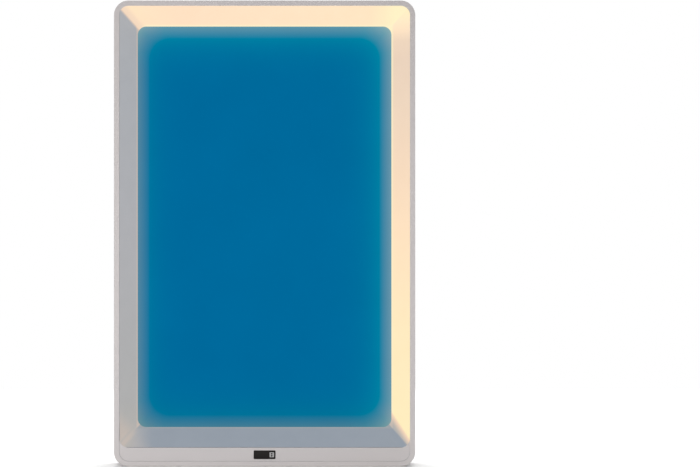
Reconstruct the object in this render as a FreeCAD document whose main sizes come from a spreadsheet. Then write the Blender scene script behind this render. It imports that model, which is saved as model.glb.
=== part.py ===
"""Wall-hung daylight panel: a blue sky panel at the bottom of a glowing, sloped recess, in a painted box.

Frame: +Z up, +X to the right as seen from the room, +Y into the wall.  The wall is the plane Y = 0, and the
origin is the centre of the four wall bolts.  A "depth" below is a distance from the wall towards the room.
"""

import FreeCAD, Part
import math
import os
from collections import namedtuple

import Sketcher

doc = FreeCAD.newDocument("daylight_panel")

# ---------------------------------------------------------------------------------------------------------
# Driving dimensions, in millimetres
# ---------------------------------------------------------------------------------------------------------
SIZES = {
    # casing
    "lamp_width": 600,
    "lamp_height": 928,
    "bay_depth": 21.3,
    "corner_radius": 29,
    "side_wall": 2.5,
    "rim_width": 10.4,
    "rim_sheet": 2,
    "edge_fillet": 0.9,
    "ledge_width": 6,
    "ledge_sheet": 2,
    "wall_gap": 5,
    "lamp_drop": 5.6,
    "cover_sheet": 1.2,
    "chassis_sheet": 1.5,
    "slip_fit": 0.3,
    # chin and its sensor
    "chin_margin": 4.9,
    "chin_groove": 0.5,
    "window_width": 43.4,
    "window_height": 17.2,
    "window_drop": 0.5,
    "window_radius": 2,
    "window_recess": 0.2,
    "window_lip": 4,
    "window_fit": 0.15,
    "tile_width": 9,
    "tile_height": 9.8,
    "tile_radius": 1.2,
    "tile_offset": 14.3,
    "tile_proud": 0.1,
    "aperture_radius": 1.15,
    "aperture_pitch": 4,
    "seal_sheet": 3,
    "seal_width": 3,
    "board_sheet": 1.6,
    # recess and sky panel
    "opening_radius": 19,
    "reveal_depth": 48,
    "reveal_side": 34.8,
    "reveal_end": 37.7,
    "reveal_wall": 2.5,
    "sky_radius": 16.8,
    "sky_margin": 14,
    "sky_sheet": 3,
    "gasket_sheet": 1,
    "gasket_setback": 4,
    "diffuser_plate": 2.5,
    "guide_sheet": 5,
    "guide_margin": 3,
    "reflector_film": 0.5,
    "panel_frame_wall": 4,
    "led_gap": 0.3,
    "led_height": 1,
    "led_side": 3.4,
    "sky_led_board": 1.5,
    "sky_led_width": 7,
    "sky_led_pitch": 32,
    "wall_led_width": 14,
    "wall_led_pitch": 36,
    # wall plate and hanging studs
    "plate_width": 300,
    "plate_height": 543,
    "plate_radius": 8,
    "plate_sheet": 1.5,
    "plate_clearance": 0.3,
    "bolt_span_x": 200,
    "bolt_span_z": 400,
    "bolt_hole": 3.25,
    "stud_span_x": 250,
    "stud_span_z": 470,
    "stud_rivet": 2.5,
    "stud_collar": 4.5,
    "stud_neck": 3,
    "stud_head": 6,
    "stud_head_height": 2,
    "stud_play": 0.3,
    "keyhole_fit": 0.2,
    "entry_fit": 0.6,
    "lift_travel": 12,
    "pin_radius": 2,
    "pin_reach": 6,
    "pin_root": 3.5,
    "pin_root_length": 1.5,
    "pin_drop": 4.2,
    # terminal compartment
    "window_clear": 18,
    "hatch_width": 104,
    "hatch_height": 70,
    "hatch_sheet": 2,
    "hatch_recess": 0.2,
    "hatch_axis": 148,
    "hatch_gap": 0.5,
    "hatch_barrel": 1.8,
    "hatch_pin": 0.8,
    "pin_play": 0.05,
    "lug_width": 4,
    "box_wall": 2,
    "box_margin": 7,
    "grommet_gap": 15,
    "grommet_radius": 7,
    "grommet_lip": 2,
    "grommet_lip_sheet": 1.4,
    "cable_bore": 4.5,
    "block_width": 33,
    "block_height": 20,
    "block_depth": 7,
    "block_drop": 34,
    "wire_pitch": 10,
    "lever_width": 6,
    "lever_length": 9,
    "lever_sheet": 1.4,
    "lever_barrel": 1.2,
    "lever_shaft": 0.5,
    "clamp_width": 34,
    "clamp_height": 8,
    "clamp_sheet": 3,
    "clamp_gap": 8,
    "clamp_drop": 74,
    "earth_offset": 42,
    # electronics
    "driver_width": 44,
    "driver_length": 260,
    "driver_height": 17,
    "driver_offset": 205,
    "driver_drop": 110,
    "driver_tab": 12,
    "board_width": 160,
    "board_height": 120,
    "board_drop": 150,
    "board_inset": 6,
    "standoff_radius": 3,
    "standoff_height": 8,
    "radio_width": 18,
    "radio_height": 26,
    "radio_depth": 3,
    "lead_radius": 1.4,
    "lead_clearance": 2,
    "lead_hole": 3,
    "lead_pitch": 8,
    "lead_bend": 8,
    # fasteners
    "screw_radius": 1.5,
    "screw_head": 2.8,
    "screw_head_height": 1.6,
    "screw_bite": 4,
    "post_radius": 5,
    "post_inset": 22,
    "earth_radius": 2,
    # rear trim
    "bumper_radius": 3.75,
    "bumper_height": 4.2,
    "bumper_span": 500,
    "bumper_rise": 19,
    "strip_height": 5,
    "strip_proud": 2.2,
    "strip_length": 540,
    "vent_length": 60,
    "vent_width": 3,
    "vent_round": 1.35,
    "vent_pitch": 12,
    "vent_rows": 7,
    "vent_drop": 70,
}

dims = doc.addObject("Spreadsheet::Sheet", "dims")
for row, (alias, number) in enumerate(SIZES.items(), start=1):
    dims.set(f"A{row}", alias.replace("_", " "))
    dims.set(f"B{row}", str(number))
    dims.setAlias(f"B{row}", alias)
doc.recompute()


def value(expression):
    """The number that an expression over the sheet gives now."""
    return float(dims.evalExpression(str(expression)))


# ---------------------------------------------------------------------------------------------------------
# Outlines, all seen from the room, and depths, all measured from the wall
# ---------------------------------------------------------------------------------------------------------
Outline = namedtuple("Outline", "x z width height radius", defaults=(None,))
Circle = namedtuple("Circle", "x z radius")


def inset(outline, by):
    """The same outline with its whole edge moved inwards by a distance (outwards if it is negative)."""
    width = f"({outline.width} - 2 * {by})"
    height = f"({outline.height} - 2 * {by})"
    radius = outline.radius and f"({outline.radius} - {by})"
    return Outline(outline.x, outline.z, width, height, radius)


LAMP_Z = "(-dims.lamp_drop)"
LAMP = Outline("0", LAMP_Z, "dims.lamp_width", "dims.lamp_height", "dims.corner_radius")
FRAME_INSIDE = inset(LAMP, "dims.side_wall")
FRONT_HOLE = inset(LAMP, "dims.rim_width")
CHIN_HEIGHT = "(dims.window_height + 2 * dims.chin_margin)"
REVEAL_Z = f"({LAMP_Z} + {CHIN_HEIGHT} / 2)"
REVEAL = Outline("0", REVEAL_Z, FRONT_HOLE.width, f"({FRONT_HOLE.height} - {CHIN_HEIGHT})",
                 "dims.opening_radius")
SKY_OPENING = Outline("0", REVEAL_Z, f"({REVEAL.width} - 2 * dims.reveal_side)",
                      f"({REVEAL.height} - 2 * dims.reveal_end)", "dims.sky_radius")
SKY_EDGE = inset(SKY_OPENING, "(-dims.sky_margin)")
GUIDE_EDGE = inset(SKY_OPENING, "(-dims.guide_margin)")
PANEL_FRAME = inset(SKY_EDGE, "(-dims.slip_fit - dims.panel_frame_wall)")
WINDOW_Z = f"({LAMP_Z} - dims.lamp_height / 2 + dims.rim_width + {CHIN_HEIGHT} / 2 - dims.window_drop)"
WINDOW = Outline("0", WINDOW_Z, "dims.window_width", "dims.window_height", "dims.window_radius")
PLATE = Outline("0", "0", "dims.plate_width", "dims.plate_height", "dims.plate_radius")

LAMP_BACK = "dims.wall_gap"
COVER_INSIDE = f"({LAMP_BACK} + dims.cover_sheet)"
CHASSIS_BACK = f"({COVER_INSIDE} + dims.bay_depth)"
CHASSIS_FRONT = f"({CHASSIS_BACK} + dims.chassis_sheet)"
GUIDE_BACK = f"({CHASSIS_FRONT} + dims.reflector_film)"
DIFFUSER_BACK = f"({GUIDE_BACK} + dims.guide_sheet)"
SKY_BACK = f"({DIFFUSER_BACK} + dims.diffuser_plate)"
SKY_FRONT = f"({SKY_BACK} + dims.sky_sheet)"
REVEAL_BACK = f"({SKY_FRONT} + dims.gasket_sheet)"
FRONT = f"({SKY_FRONT} + dims.reveal_depth)"
RIM_BACK = f"({FRONT} - dims.rim_sheet)"

HATCH_TOP = "(dims.hatch_axis + dims.hatch_barrel)"
HATCH_BOTTOM = "(dims.hatch_axis - dims.hatch_height)"
HATCH_Z = f"(({HATCH_TOP} + {HATCH_BOTTOM}) / 2)"
HATCH_RISE = f"({HATCH_TOP} - {HATCH_BOTTOM} + 2 * dims.hatch_gap)"
HATCH_SPAN = "(dims.hatch_width + 2 * dims.hatch_gap + 2 * dims.lug_width)"
GROMMET_Z = f"({HATCH_BOTTOM} - dims.grommet_gap - dims.grommet_radius - dims.grommet_lip)"
SIDES = (-1, 1)

# ---------------------------------------------------------------------------------------------------------
# Drawing and making
# ---------------------------------------------------------------------------------------------------------
nodes = []


def keep(thing):
    """Marks a finished object as a sub-part of the lamp: its label names its file."""
    nodes.append(thing)
    return thing


def new_body(label):
    """An empty body for one sub-part, which may be a group of separate solids."""
    body = doc.addObject("PartDesign::Body", label)
    body.Label = label
    body.AllowCompound = True
    return keep(body)


def bind(sketch, kind, *geometry, to):
    """Adds one dimension to a sketch and ties it to an expression over the sheet."""
    number = sketch.addConstraint(Sketcher.Constraint(kind, *geometry, value(to)))
    sketch.setExpression(f"Constraints[{number}]", str(to))


def draw_circle(sketch, circle):
    """One circle, its centre placed from the sketch's origin."""
    centre = FreeCAD.Vector(value(circle.x), value(circle.z), 0)
    ring = sketch.addGeometry(Part.Circle(centre, FreeCAD.Vector(0, 0, 1), value(circle.radius)))
    bind(sketch, "DistanceX", -1, 1, ring, 3, to=circle.x)
    bind(sketch, "DistanceY", -1, 1, ring, 3, to=circle.z)
    bind(sketch, "Radius", ring, to=circle.radius)


def draw_outline(sketch, outline):
    """A rectangle, with round corners if it has a radius: four sides, then four quarter circles."""
    x, z = value(outline.x), value(outline.z)
    across, up = value(outline.width) / 2, value(outline.height) / 2
    radius = value(outline.radius) if outline.radius else 0
    corners = [(x + sx * across, z + sz * up, sx, sz) for sx, sz in ((-1, -1), (1, -1), (1, 1), (-1, 1))]
    sides = []
    for index, (x0, z0, _, _) in enumerate(corners):
        x1, z1 = corners[(index + 1) % 4][:2]
        along = FreeCAD.Vector(x1 - x0, z1 - z0, 0).normalize() * radius
        line = Part.LineSegment(FreeCAD.Vector(x0, z0, 0) + along, FreeCAD.Vector(x1, z1, 0) - along)
        sides.append(sketch.addGeometry(line))
    if outline.radius:
        arcs = []
        for index, (x0, z0, sx, sz) in enumerate(corners):
            centre = FreeCAD.Vector(x0 - sx * radius, z0 - sz * radius, 0)
            round_corner = Part.Circle(centre, FreeCAD.Vector(0, 0, 1), radius)
            start = math.pi + index * math.pi / 2
            arcs.append(sketch.addGeometry(Part.ArcOfCircle(round_corner, start, start + math.pi / 2)))
        for index, arc in enumerate(arcs):
            sketch.addConstraint(Sketcher.Constraint("Tangent", sides[index - 1], 2, arc, 1))
            sketch.addConstraint(Sketcher.Constraint("Tangent", arc, 2, sides[index], 1))
        for arc in arcs[1:]:
            sketch.addConstraint(Sketcher.Constraint("Equal", arcs[0], arc))
        bind(sketch, "Radius", arcs[0], to=outline.radius)
    else:
        for index in range(4):
            sketch.addConstraint(Sketcher.Constraint("Coincident", sides[index - 1], 2, sides[index], 1))
    for index, direction in enumerate(("Horizontal", "Vertical") * 2):
        sketch.addConstraint(Sketcher.Constraint(direction, sides[index]))
    bottom, right, _, left = sides
    bind(sketch, "DistanceX", -1, 1, left, 1, to=f"{outline.x} - {outline.width} / 2")
    bind(sketch, "DistanceX", left, 1, right, 1, to=outline.width)
    bind(sketch, "DistanceY", -1, 1, bottom, 1, to=f"{outline.z} - {outline.height} / 2")
    bind(sketch, "DistanceY", bottom, 1, sides[2], 1, to=outline.height)


def sketch_at(body, depth, outlines):
    """A sketch parallel to the wall at a depth, holding closed outlines and circles."""
    sketch = body.newObject("Sketcher::SketchObject", f"{body.Name}_sketch")
    wall_plane = next(plane for plane in body.Origin.OriginFeatures if plane.Role == "XZ_Plane")
    sketch.AttachmentSupport = [(wall_plane, "")]
    sketch.MapMode = "FlatFace"
    sketch.setExpression("AttachmentOffset.Base.z", str(depth))
    for outline in outlines:
        draw = draw_circle if isinstance(outline, Circle) else draw_outline
        draw(sketch, outline)
    return sketch


def pad(body, depth, thickness, *outlines):
    """Adds material from a depth towards the room: the first outline, with the others as holes in it."""
    feature = body.newObject("PartDesign::Pad", f"{body.Name}_pad")
    feature.Profile = sketch_at(body, depth, outlines)
    feature.setExpression("Length", str(thickness))
    doc.recompute()
    return feature


def pocket(body, depth, thickness, *outlines):
    """Removes material from a depth towards the room, and stops if nothing was there to remove."""
    before = body.Shape.Volume
    feature = body.newObject("PartDesign::Pocket", f"{body.Name}_pocket")
    feature.Profile = sketch_at(body, depth, outlines)
    feature.setExpression("Length", str(thickness))
    feature.Reversed = True
    doc.recompute()
    if body.Shape.Volume >= before:
        raise RuntimeError(f"{body.Label}: a pocket cut nothing")
    return feature


def loft(body, kind, ends):
    """A sloped solid between two outlines, each at its own depth, added to or taken from the body."""
    sketches = [sketch_at(body, depth, [outline]) for depth, outline in ends]
    feature = body.newObject(f"PartDesign::{kind}Loft", f"{body.Name}_loft")
    feature.Profile = sketches[0]
    feature.Sections = sketches[1:]
    feature.Ruled = True
    doc.recompute()
    return feature


def place(primitive, **where):
    """Ties a primitive's position to expressions over the sheet."""
    for axis, expression in where.items():
        primitive.setExpression(f"Placement.Base.{axis}", str(expression))
    return primitive


def rod(x, z, depth, radius, length):
    """A round bar square to the wall, from a depth towards the room."""
    cylinder = doc.addObject("Part::Cylinder", "rod")
    cylinder.Placement.Rotation = FreeCAD.Rotation(FreeCAD.Vector(1, 0, 0), 90)
    cylinder.setExpression("Radius", str(radius))
    cylinder.setExpression("Height", str(length))
    return place(cylinder, x=x, y=f"-({depth})", z=z)


def shaft(x, z, depth, radius, length):
    """A round bar along X, centred on x."""
    cylinder = doc.addObject("Part::Cylinder", "shaft")
    cylinder.Placement.Rotation = FreeCAD.Rotation(FreeCAD.Vector(0, 1, 0), 90)
    cylinder.setExpression("Radius", str(radius))
    cylinder.setExpression("Height", str(length))
    return place(cylinder, x=f"{x} - ({length}) / 2", y=f"-({depth})", z=z)


def block(x, z, width, height, depth, thickness):
    """A block centred on (x, z), from a depth towards the room."""
    solid = doc.addObject("Part::Box", "block")
    solid.setExpression("Length", str(width))
    solid.setExpression("Width", str(thickness))
    solid.setExpression("Height", str(height))
    return place(solid, x=f"{x} - ({width}) / 2", y=f"-({depth}) - ({thickness})", z=f"{z} - ({height}) / 2")


def join(*parts):
    """One solid out of several that touch or overlap."""
    fused = doc.addObject("Part::MultiFuse", "joined")
    fused.Shapes = list(parts)
    fused.Refine = True
    return fused


def cut(base, *tools):
    """A solid with others taken out of it."""
    for tool in tools:
        result = doc.addObject("Part::Cut", "cut")
        result.Base = base
        result.Tool = tool
        base = result
    return base


def finish(label, *parts):
    """Names a sub-part that primitives made: one solid, or a group of identical ones."""
    if len(parts) == 1:
        result = parts[0]
    else:
        result = doc.addObject("Part::Compound", label)
        result.Links = list(parts)
    result.Label = label
    doc.recompute()
    return keep(result)


def corners(span_x, span_z, z="0"):
    """The four corners of a rectangle centred on (0, z)."""
    return [(f"({sx} * {span_x} / 2)", f"({z} + {sz} * {span_z} / 2)") for sx in SIDES for sz in SIDES]


def screw(x, z, depth, length):
    """A pan-head screw put in from the back: its head ends at the depth, and its shank goes on from there."""
    head = rod(x, z, f"{depth} - dims.screw_head_height", "dims.screw_head", "dims.screw_head_height")
    return join(head, rod(x, z, depth, "dims.screw_radius", length))


# ---------------------------------------------------------------------------------------------------------
# Wall plate: a shallow sheet tray with its rim turned towards the lamp
# ---------------------------------------------------------------------------------------------------------
STUDS = corners("dims.stud_span_x", "dims.stud_span_z")
BOLTS = corners("dims.bolt_span_x", "dims.bolt_span_z")
PIN_Z = "(-dims.pin_drop)"
WINDOW_TOP = "(dims.hatch_axis + dims.lift_travel + dims.window_clear)"
WINDOW_BOTTOM = f"({GROMMET_Z} - dims.grommet_radius - dims.grommet_lip - dims.window_clear)"
PLATE_WINDOW = Outline("0", f"(({WINDOW_TOP} + {WINDOW_BOTTOM}) / 2)", f"({HATCH_SPAN} + 2 * dims.window_clear)",
                       f"({WINDOW_TOP} - {WINDOW_BOTTOM})", "dims.plate_radius")
PLATE_RIM = f"({LAMP_BACK} - dims.plate_clearance)"

wall_plate = new_body("wall_plate")
pad(wall_plate, "0", "dims.plate_sheet", PLATE, PLATE_WINDOW,
    *[Circle(x, z, "dims.bolt_hole") for x, z in BOLTS],
    *[Circle(x, z, "dims.stud_rivet") for x, z in STUDS],
    Circle("0", PIN_Z, "dims.pin_radius"))
pad(wall_plate, "0", PLATE_RIM, PLATE, inset(PLATE, "dims.plate_sheet"))

# Each stud is riveted in the plate; its neck passes the lamp's back cover and its head holds the cover.
NECK_LENGTH = "(dims.cover_sheet + dims.plate_clearance + dims.stud_play)"
studs = []
for x, z in STUDS:
    rivet = rod(x, z, "0", "dims.stud_rivet", "dims.plate_sheet")
    collar = rod(x, z, "dims.plate_sheet", "dims.stud_collar", f"{PLATE_RIM} - dims.plate_sheet")
    neck = rod(x, z, PLATE_RIM, "dims.stud_neck", NECK_LENGTH)
    head = rod(x, z, f"{PLATE_RIM} + {NECK_LENGTH}", "dims.stud_head", "dims.stud_head_height")
    studs.append(join(rivet, collar, neck, head))
finish("hanging_studs", *studs)

# The locating pin goes through the plate into the wall, with a tapered root against the plate.
pin_root = doc.addObject("Part::Cone", "pin_root")
pin_root.Placement.Rotation = FreeCAD.Rotation(FreeCAD.Vector(1, 0, 0), -90)
pin_root.setExpression("Radius1", "dims.pin_root")
pin_root.setExpression("Radius2", "dims.pin_radius")
pin_root.setExpression("Height", "dims.pin_root_length")
place(pin_root, y="0", z=PIN_Z)
pin_bar = rod("0", PIN_Z, "-dims.pin_reach", "dims.pin_radius", "dims.pin_reach + dims.plate_sheet")
finish("centre_pin", join(pin_root, pin_bar))

# ---------------------------------------------------------------------------------------------------------
# Casing: a bent frame profile with a front rim and an inner ledge that carries the chassis
# ---------------------------------------------------------------------------------------------------------
outer_frame = new_body("outer_frame")
pad(outer_frame, LAMP_BACK, f"{FRONT} - {LAMP_BACK}", LAMP, FRAME_INSIDE)
pad(outer_frame, RIM_BACK, "dims.rim_sheet", LAMP, FRONT_HOLE)
pad(outer_frame, CHASSIS_FRONT, "dims.ledge_sheet", LAMP, inset(FRAME_INSIDE, "dims.ledge_width"))

LEDGE_X = "(dims.lamp_width / 2 - dims.side_wall - dims.ledge_width / 2)"
LEDGE_Z = "(dims.lamp_height / 2 - dims.side_wall - dims.ledge_width / 2)"
CHASSIS_SCREWS = [(f"({side} * {LEDGE_X})", f"({LAMP_Z} + {row} * dims.lamp_height / 3)")
                  for side in SIDES for row in (-1, 0, 1)]
CHASSIS_SCREWS += [("0", f"({LAMP_Z} + {side} * {LEDGE_Z})") for side in SIDES]
pocket(outer_frame, CHASSIS_FRONT, "dims.ledge_sheet",
       *[Circle(x, z, "dims.screw_radius") for x, z in CHASSIS_SCREWS])


def edges_on_front_rim(shape):
    """The names of the edges round the outside of the front face."""
    front = -value(FRONT)
    across = value("dims.lamp_width") / 2 - value("dims.corner_radius")
    up = value("dims.lamp_height") / 2 - value("dims.corner_radius")
    names = []
    for number, edge in enumerate(shape.Edges, start=1):
        middle = edge.valueAt((edge.FirstParameter + edge.LastParameter) / 2)
        if abs(edge.BoundBox.YMin - front) > 1e-4 or abs(edge.BoundBox.YMax - front) > 1e-4:
            continue
        past = math.hypot(max(0, abs(middle.x) - across), max(0, abs(middle.z - value(LAMP_Z)) - up))
        if past > value("dims.corner_radius") - 0.1:
            names.append(f"Edge{number}")
    return names


sharp_frame = outer_frame.Tip
rim_edges = edges_on_front_rim(sharp_frame.Shape)
rim_fillet = outer_frame.newObject("PartDesign::Fillet", "rim_fillet")
rim_fillet.Base = (sharp_frame, rim_edges)
rim_fillet.setExpression("Radius", "dims.edge_fillet")
doc.recompute()

# The back cover closes the frame between its side walls; keyholes hang it on the studs.
POSTS = [(f"({sx} * (dims.lamp_width / 2 - dims.post_inset))",
          f"({LAMP_Z} + {row} * (dims.lamp_height / 2 - dims.post_inset))")
         for sx in SIDES for row in (-1, 0, 1)]
SLOT = "(dims.stud_neck + dims.keyhole_fit)"

back_cover = new_body("back_cover")
pad(back_cover, LAMP_BACK, "dims.cover_sheet", inset(FRAME_INSIDE, "dims.slip_fit"),
    Outline("0", HATCH_Z, HATCH_SPAN, HATCH_RISE),
    Circle("0", GROMMET_Z, "dims.grommet_radius"),
    *[Circle(x, z, "dims.screw_radius") for x, z in POSTS])
pocket(back_cover, LAMP_BACK, "dims.cover_sheet",
       *[Circle(x, f"({z} - dims.lift_travel)", "(dims.stud_head + dims.entry_fit)")
         for x, z in STUDS])
pocket(back_cover, LAMP_BACK, "dims.cover_sheet",
       *[Outline(x, f"({z} - dims.lift_travel / 2)", f"(2 * {SLOT})", "dims.lift_travel") for x, z in STUDS])
pocket(back_cover, LAMP_BACK, "dims.cover_sheet", *[Circle(x, z, SLOT) for x, z in STUDS])
VENT_ROWS = [row - (value("dims.vent_rows") - 1) / 2 for row in range(int(value("dims.vent_rows")))]
VENT_X = "(dims.plate_width / 2 + (dims.lamp_width - dims.plate_width) / 4)"
VENT_Z = f"({LAMP_Z} + dims.lamp_height / 2 - dims.vent_drop)"
pocket(back_cover, LAMP_BACK, "dims.cover_sheet",
       *[Outline(f"({sx} * {VENT_X})", f"({VENT_Z} + {row} * dims.vent_pitch)", "dims.vent_length",
                 "dims.vent_width", "dims.vent_round") for sx in SIDES for row in VENT_ROWS])

posts = []
for x, z in POSTS:
    post = rod(x, z, COVER_INSIDE, "dims.post_radius", f"{CHASSIS_BACK} - {COVER_INSIDE}")
    posts.append(cut(post, rod(x, z, COVER_INSIDE, "dims.screw_radius", "dims.screw_bite")))
finish("cover_posts", *posts)
finish("cover_screws", *[screw(x, z, LAMP_BACK, "dims.cover_sheet + dims.screw_bite") for x, z in POSTS])

BUMPER_Z = f"({LAMP_Z} - dims.lamp_height / 2 + dims.bumper_rise)"
finish("wall_bumpers", *[rod(f"({side} * dims.bumper_span / 2)", BUMPER_Z, f"{LAMP_BACK} - dims.bumper_height",
                             "dims.bumper_radius", "dims.bumper_height") for side in SIDES])
STRIP_Z = f"({LAMP_Z} - dims.lamp_height / 2 + dims.side_wall + dims.slip_fit + dims.strip_height / 2)"
finish("lower_edge_strip", block("0", STRIP_Z, "dims.strip_length", "dims.strip_height",
                                 f"{LAMP_BACK} - dims.strip_proud", "dims.strip_proud"))

# ---------------------------------------------------------------------------------------------------------
# Chin: the flat strip under the recess, with the sensor behind a dark window
# ---------------------------------------------------------------------------------------------------------
chin_panel = new_body("chin_panel")
pad(chin_panel, RIM_BACK, "dims.rim_sheet", inset(FRONT_HOLE, "dims.chin_groove"))
pocket(chin_panel, RIM_BACK, "dims.rim_sheet", REVEAL)
pocket(chin_panel, RIM_BACK, "dims.rim_sheet", inset(WINDOW, "(-dims.window_fit)"))

TILE_X = "dims.tile_offset"
TILE = Outline(TILE_X, WINDOW_Z, "dims.tile_width", "dims.tile_height", "dims.tile_radius")
APERTURES = [Circle(TILE_X, f"({WINDOW_Z} + {side} * dims.aperture_pitch / 2)", "dims.aperture_radius")
             for side in SIDES]
WINDOW_BACK = f"({RIM_BACK} - dims.rim_sheet + dims.slip_fit)"
WINDOW_LIP = inset(WINDOW, "(-dims.window_lip)")
sensor_window = new_body("sensor_window")
pad(sensor_window, WINDOW_BACK, f"{FRONT} - dims.window_recess - {WINDOW_BACK}", WINDOW, TILE)
pad(sensor_window, WINDOW_BACK, f"{RIM_BACK} - {WINDOW_BACK}", WINDOW_LIP, TILE)

sensor_tile = new_body("sensor_tile")
pad(sensor_tile, WINDOW_BACK, f"{FRONT} - dims.window_recess + dims.tile_proud - {WINDOW_BACK}", TILE, *APERTURES)

SEAL_BACK = f"({WINDOW_BACK} - dims.seal_sheet)"
BOARD_BACK = f"({SEAL_BACK} - dims.board_sheet)"
sensor_seal = new_body("sensor_seal")
pad(sensor_seal, SEAL_BACK, "dims.seal_sheet", WINDOW,
    Outline("0", WINDOW_Z, f"({WINDOW.width} - 2 * dims.seal_width)", f"({WINDOW.height} - 2 * dims.seal_width)"))
sensor_board = new_body("sensor_board")
pad(sensor_board, BOARD_BACK, "dims.board_sheet", WINDOW)

# ---------------------------------------------------------------------------------------------------------
# Recess: one moulded opal funnel with a flange at each end
# ---------------------------------------------------------------------------------------------------------
REVEAL_SHELL = inset(REVEAL, "(-dims.reveal_wall)")
SKY_SHELL = inset(SKY_OPENING, "(-dims.reveal_wall)")
FLANGE = inset(FRAME_INSIDE, "dims.slip_fit")
reveal_diffuser = new_body("reveal_diffuser")
pad(reveal_diffuser, f"{RIM_BACK} - dims.rim_sheet", "dims.rim_sheet", FLANGE)
loft(reveal_diffuser, "Additive", [(REVEAL_BACK, SKY_SHELL), (RIM_BACK, REVEAL_SHELL)])
pad(reveal_diffuser, REVEAL_BACK, "dims.reveal_wall", PANEL_FRAME)
loft(reveal_diffuser, "Subtractive", [(REVEAL_BACK, SKY_OPENING), (RIM_BACK, REVEAL)])
pocket(reveal_diffuser, f"{RIM_BACK} - dims.rim_sheet", "dims.rim_sheet", inset(WINDOW_LIP, "(-dims.slip_fit)"))

# ---------------------------------------------------------------------------------------------------------
# Sky engine: an edge-lit stack in a moulded frame, pressed against the funnel's back flange
# ---------------------------------------------------------------------------------------------------------
sky_gasket = new_body("sky_gasket")
pad(sky_gasket, SKY_FRONT, "dims.gasket_sheet", SKY_EDGE, inset(SKY_OPENING, "(-dims.gasket_setback)"))
sky_panel = new_body("sky_panel")
pad(sky_panel, SKY_BACK, "dims.sky_sheet", SKY_EDGE)
diffuser_sheet = new_body("diffuser_sheet")
pad(diffuser_sheet, DIFFUSER_BACK, "dims.diffuser_plate", GUIDE_EDGE)
light_guide = new_body("light_guide")
pad(light_guide, GUIDE_BACK, "dims.guide_sheet", GUIDE_EDGE)
reflector_sheet = new_body("reflector_sheet")
pad(reflector_sheet, CHASSIS_FRONT, "dims.reflector_film", GUIDE_EDGE)

SKY_LED_ROOM = "(dims.led_gap + dims.led_height + dims.sky_led_board + dims.slip_fit)"
ENGINE_WELL = Outline("0", REVEAL_Z, f"({GUIDE_EDGE.width} + 2 * {SKY_LED_ROOM})",
                      f"({GUIDE_EDGE.height} + 2 * dims.slip_fit)", GUIDE_EDGE.radius)
panel_frame = new_body("panel_frame")
pad(panel_frame, CHASSIS_FRONT, f"{REVEAL_BACK} - {CHASSIS_FRONT}", PANEL_FRAME, ENGINE_WELL)
pocket(panel_frame, SKY_BACK, f"{REVEAL_BACK} - {SKY_BACK}", inset(SKY_EDGE, "(-dims.slip_fit)"))

GUIDE_HALF = f"({GUIDE_EDGE.width} / 2)"
SKY_BOARD_X = f"({GUIDE_HALF} + dims.led_gap + dims.led_height + dims.sky_led_board / 2)"
SKY_LED_X = f"({GUIDE_HALF} + dims.led_gap + dims.led_height / 2)"
SKY_BOARD_LENGTH = f"({GUIDE_EDGE.height} - 2 * dims.sky_led_pitch)"
finish("sky_led_boards", *[block(f"({side} * {SKY_BOARD_X})", REVEAL_Z, "dims.sky_led_board", SKY_BOARD_LENGTH,
                                 CHASSIS_FRONT, "dims.sky_led_width") for side in SIDES])
sky_led_count = int(value(SKY_BOARD_LENGTH) // value("dims.sky_led_pitch"))
SKY_LED_BACK = f"({GUIDE_BACK} + (dims.guide_sheet - dims.led_side) / 2)"
sky_leds = []
for side in SIDES:
    for index in range(sky_led_count):
        step = index - (sky_led_count - 1) / 2
        sky_leds.append(block(f"({side} * {SKY_LED_X})", f"({REVEAL_Z} + {step} * dims.sky_led_pitch)",
                              "dims.led_height", "dims.led_side", SKY_LED_BACK, "dims.led_side"))
finish("sky_leds", *sky_leds)

# Wall boards lie on the chassis behind the funnel's four walls, each in its own colour channel.
SIDE_CHANNEL = f"(({PANEL_FRAME.width} / 2 + dims.lamp_width / 2 - dims.side_wall - dims.ledge_width) / 2)"
END_CHANNEL = f"({PANEL_FRAME.height} / 2 + dims.wall_led_width)"
SIDE_LENGTH = f"({PANEL_FRAME.height} - 2 * dims.wall_led_width)"
END_LENGTH = f"({PANEL_FRAME.width} - 2 * dims.wall_led_width)"
WALL_LED_DEPTH = f"({CHASSIS_FRONT} + dims.board_sheet)"
wall_leds = []
for name, side, upright in (("left", -1, True), ("right", 1, True), ("top", 1, False), ("bottom", -1, False)):
    length = SIDE_LENGTH if upright else END_LENGTH
    x = f"({side} * {SIDE_CHANNEL})" if upright else "0"
    z = REVEAL_Z if upright else f"({REVEAL_Z} + {side} * {END_CHANNEL})"
    width, height = ("dims.wall_led_width", length) if upright else (length, "dims.wall_led_width")
    finish(f"wall_led_board_{name}", block(x, z, width, height, CHASSIS_FRONT, "dims.board_sheet"))
    count = int(value(length) // value("dims.wall_led_pitch"))
    for index in range(count):
        along = f"{index - (count - 1) / 2} * dims.wall_led_pitch"
        led_x = x if upright else f"({along})"
        led_z = f"({z} + {along})" if upright else z
        wall_leds.append(block(led_x, led_z, "dims.led_side", "dims.led_side", WALL_LED_DEPTH, "dims.led_height"))
finish("wall_leds", *wall_leds)

# ---------------------------------------------------------------------------------------------------------
# Chassis and electronics, all fastened to the back of the chassis plate
# ---------------------------------------------------------------------------------------------------------
DRIVER_Z = "(-dims.driver_drop)"
SKY_LEAD_Z = f"({DRIVER_Z} - dims.lead_pitch * 2)"
SENSOR_X = "(dims.window_width / 3)"
LEAD_HOLES = [(SENSOR_X, WINDOW_Z)]
for side in SIDES:
    LEAD_HOLES.append((f"({side} * {SIDE_CHANNEL})", DRIVER_Z))
    LEAD_HOLES.append((f"({side} * {SKY_BOARD_X})", SKY_LEAD_Z))
    LEAD_HOLES.append((f"({side} * dims.driver_offset)", f"({REVEAL_Z} + {side} * {END_CHANNEL})"))

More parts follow.
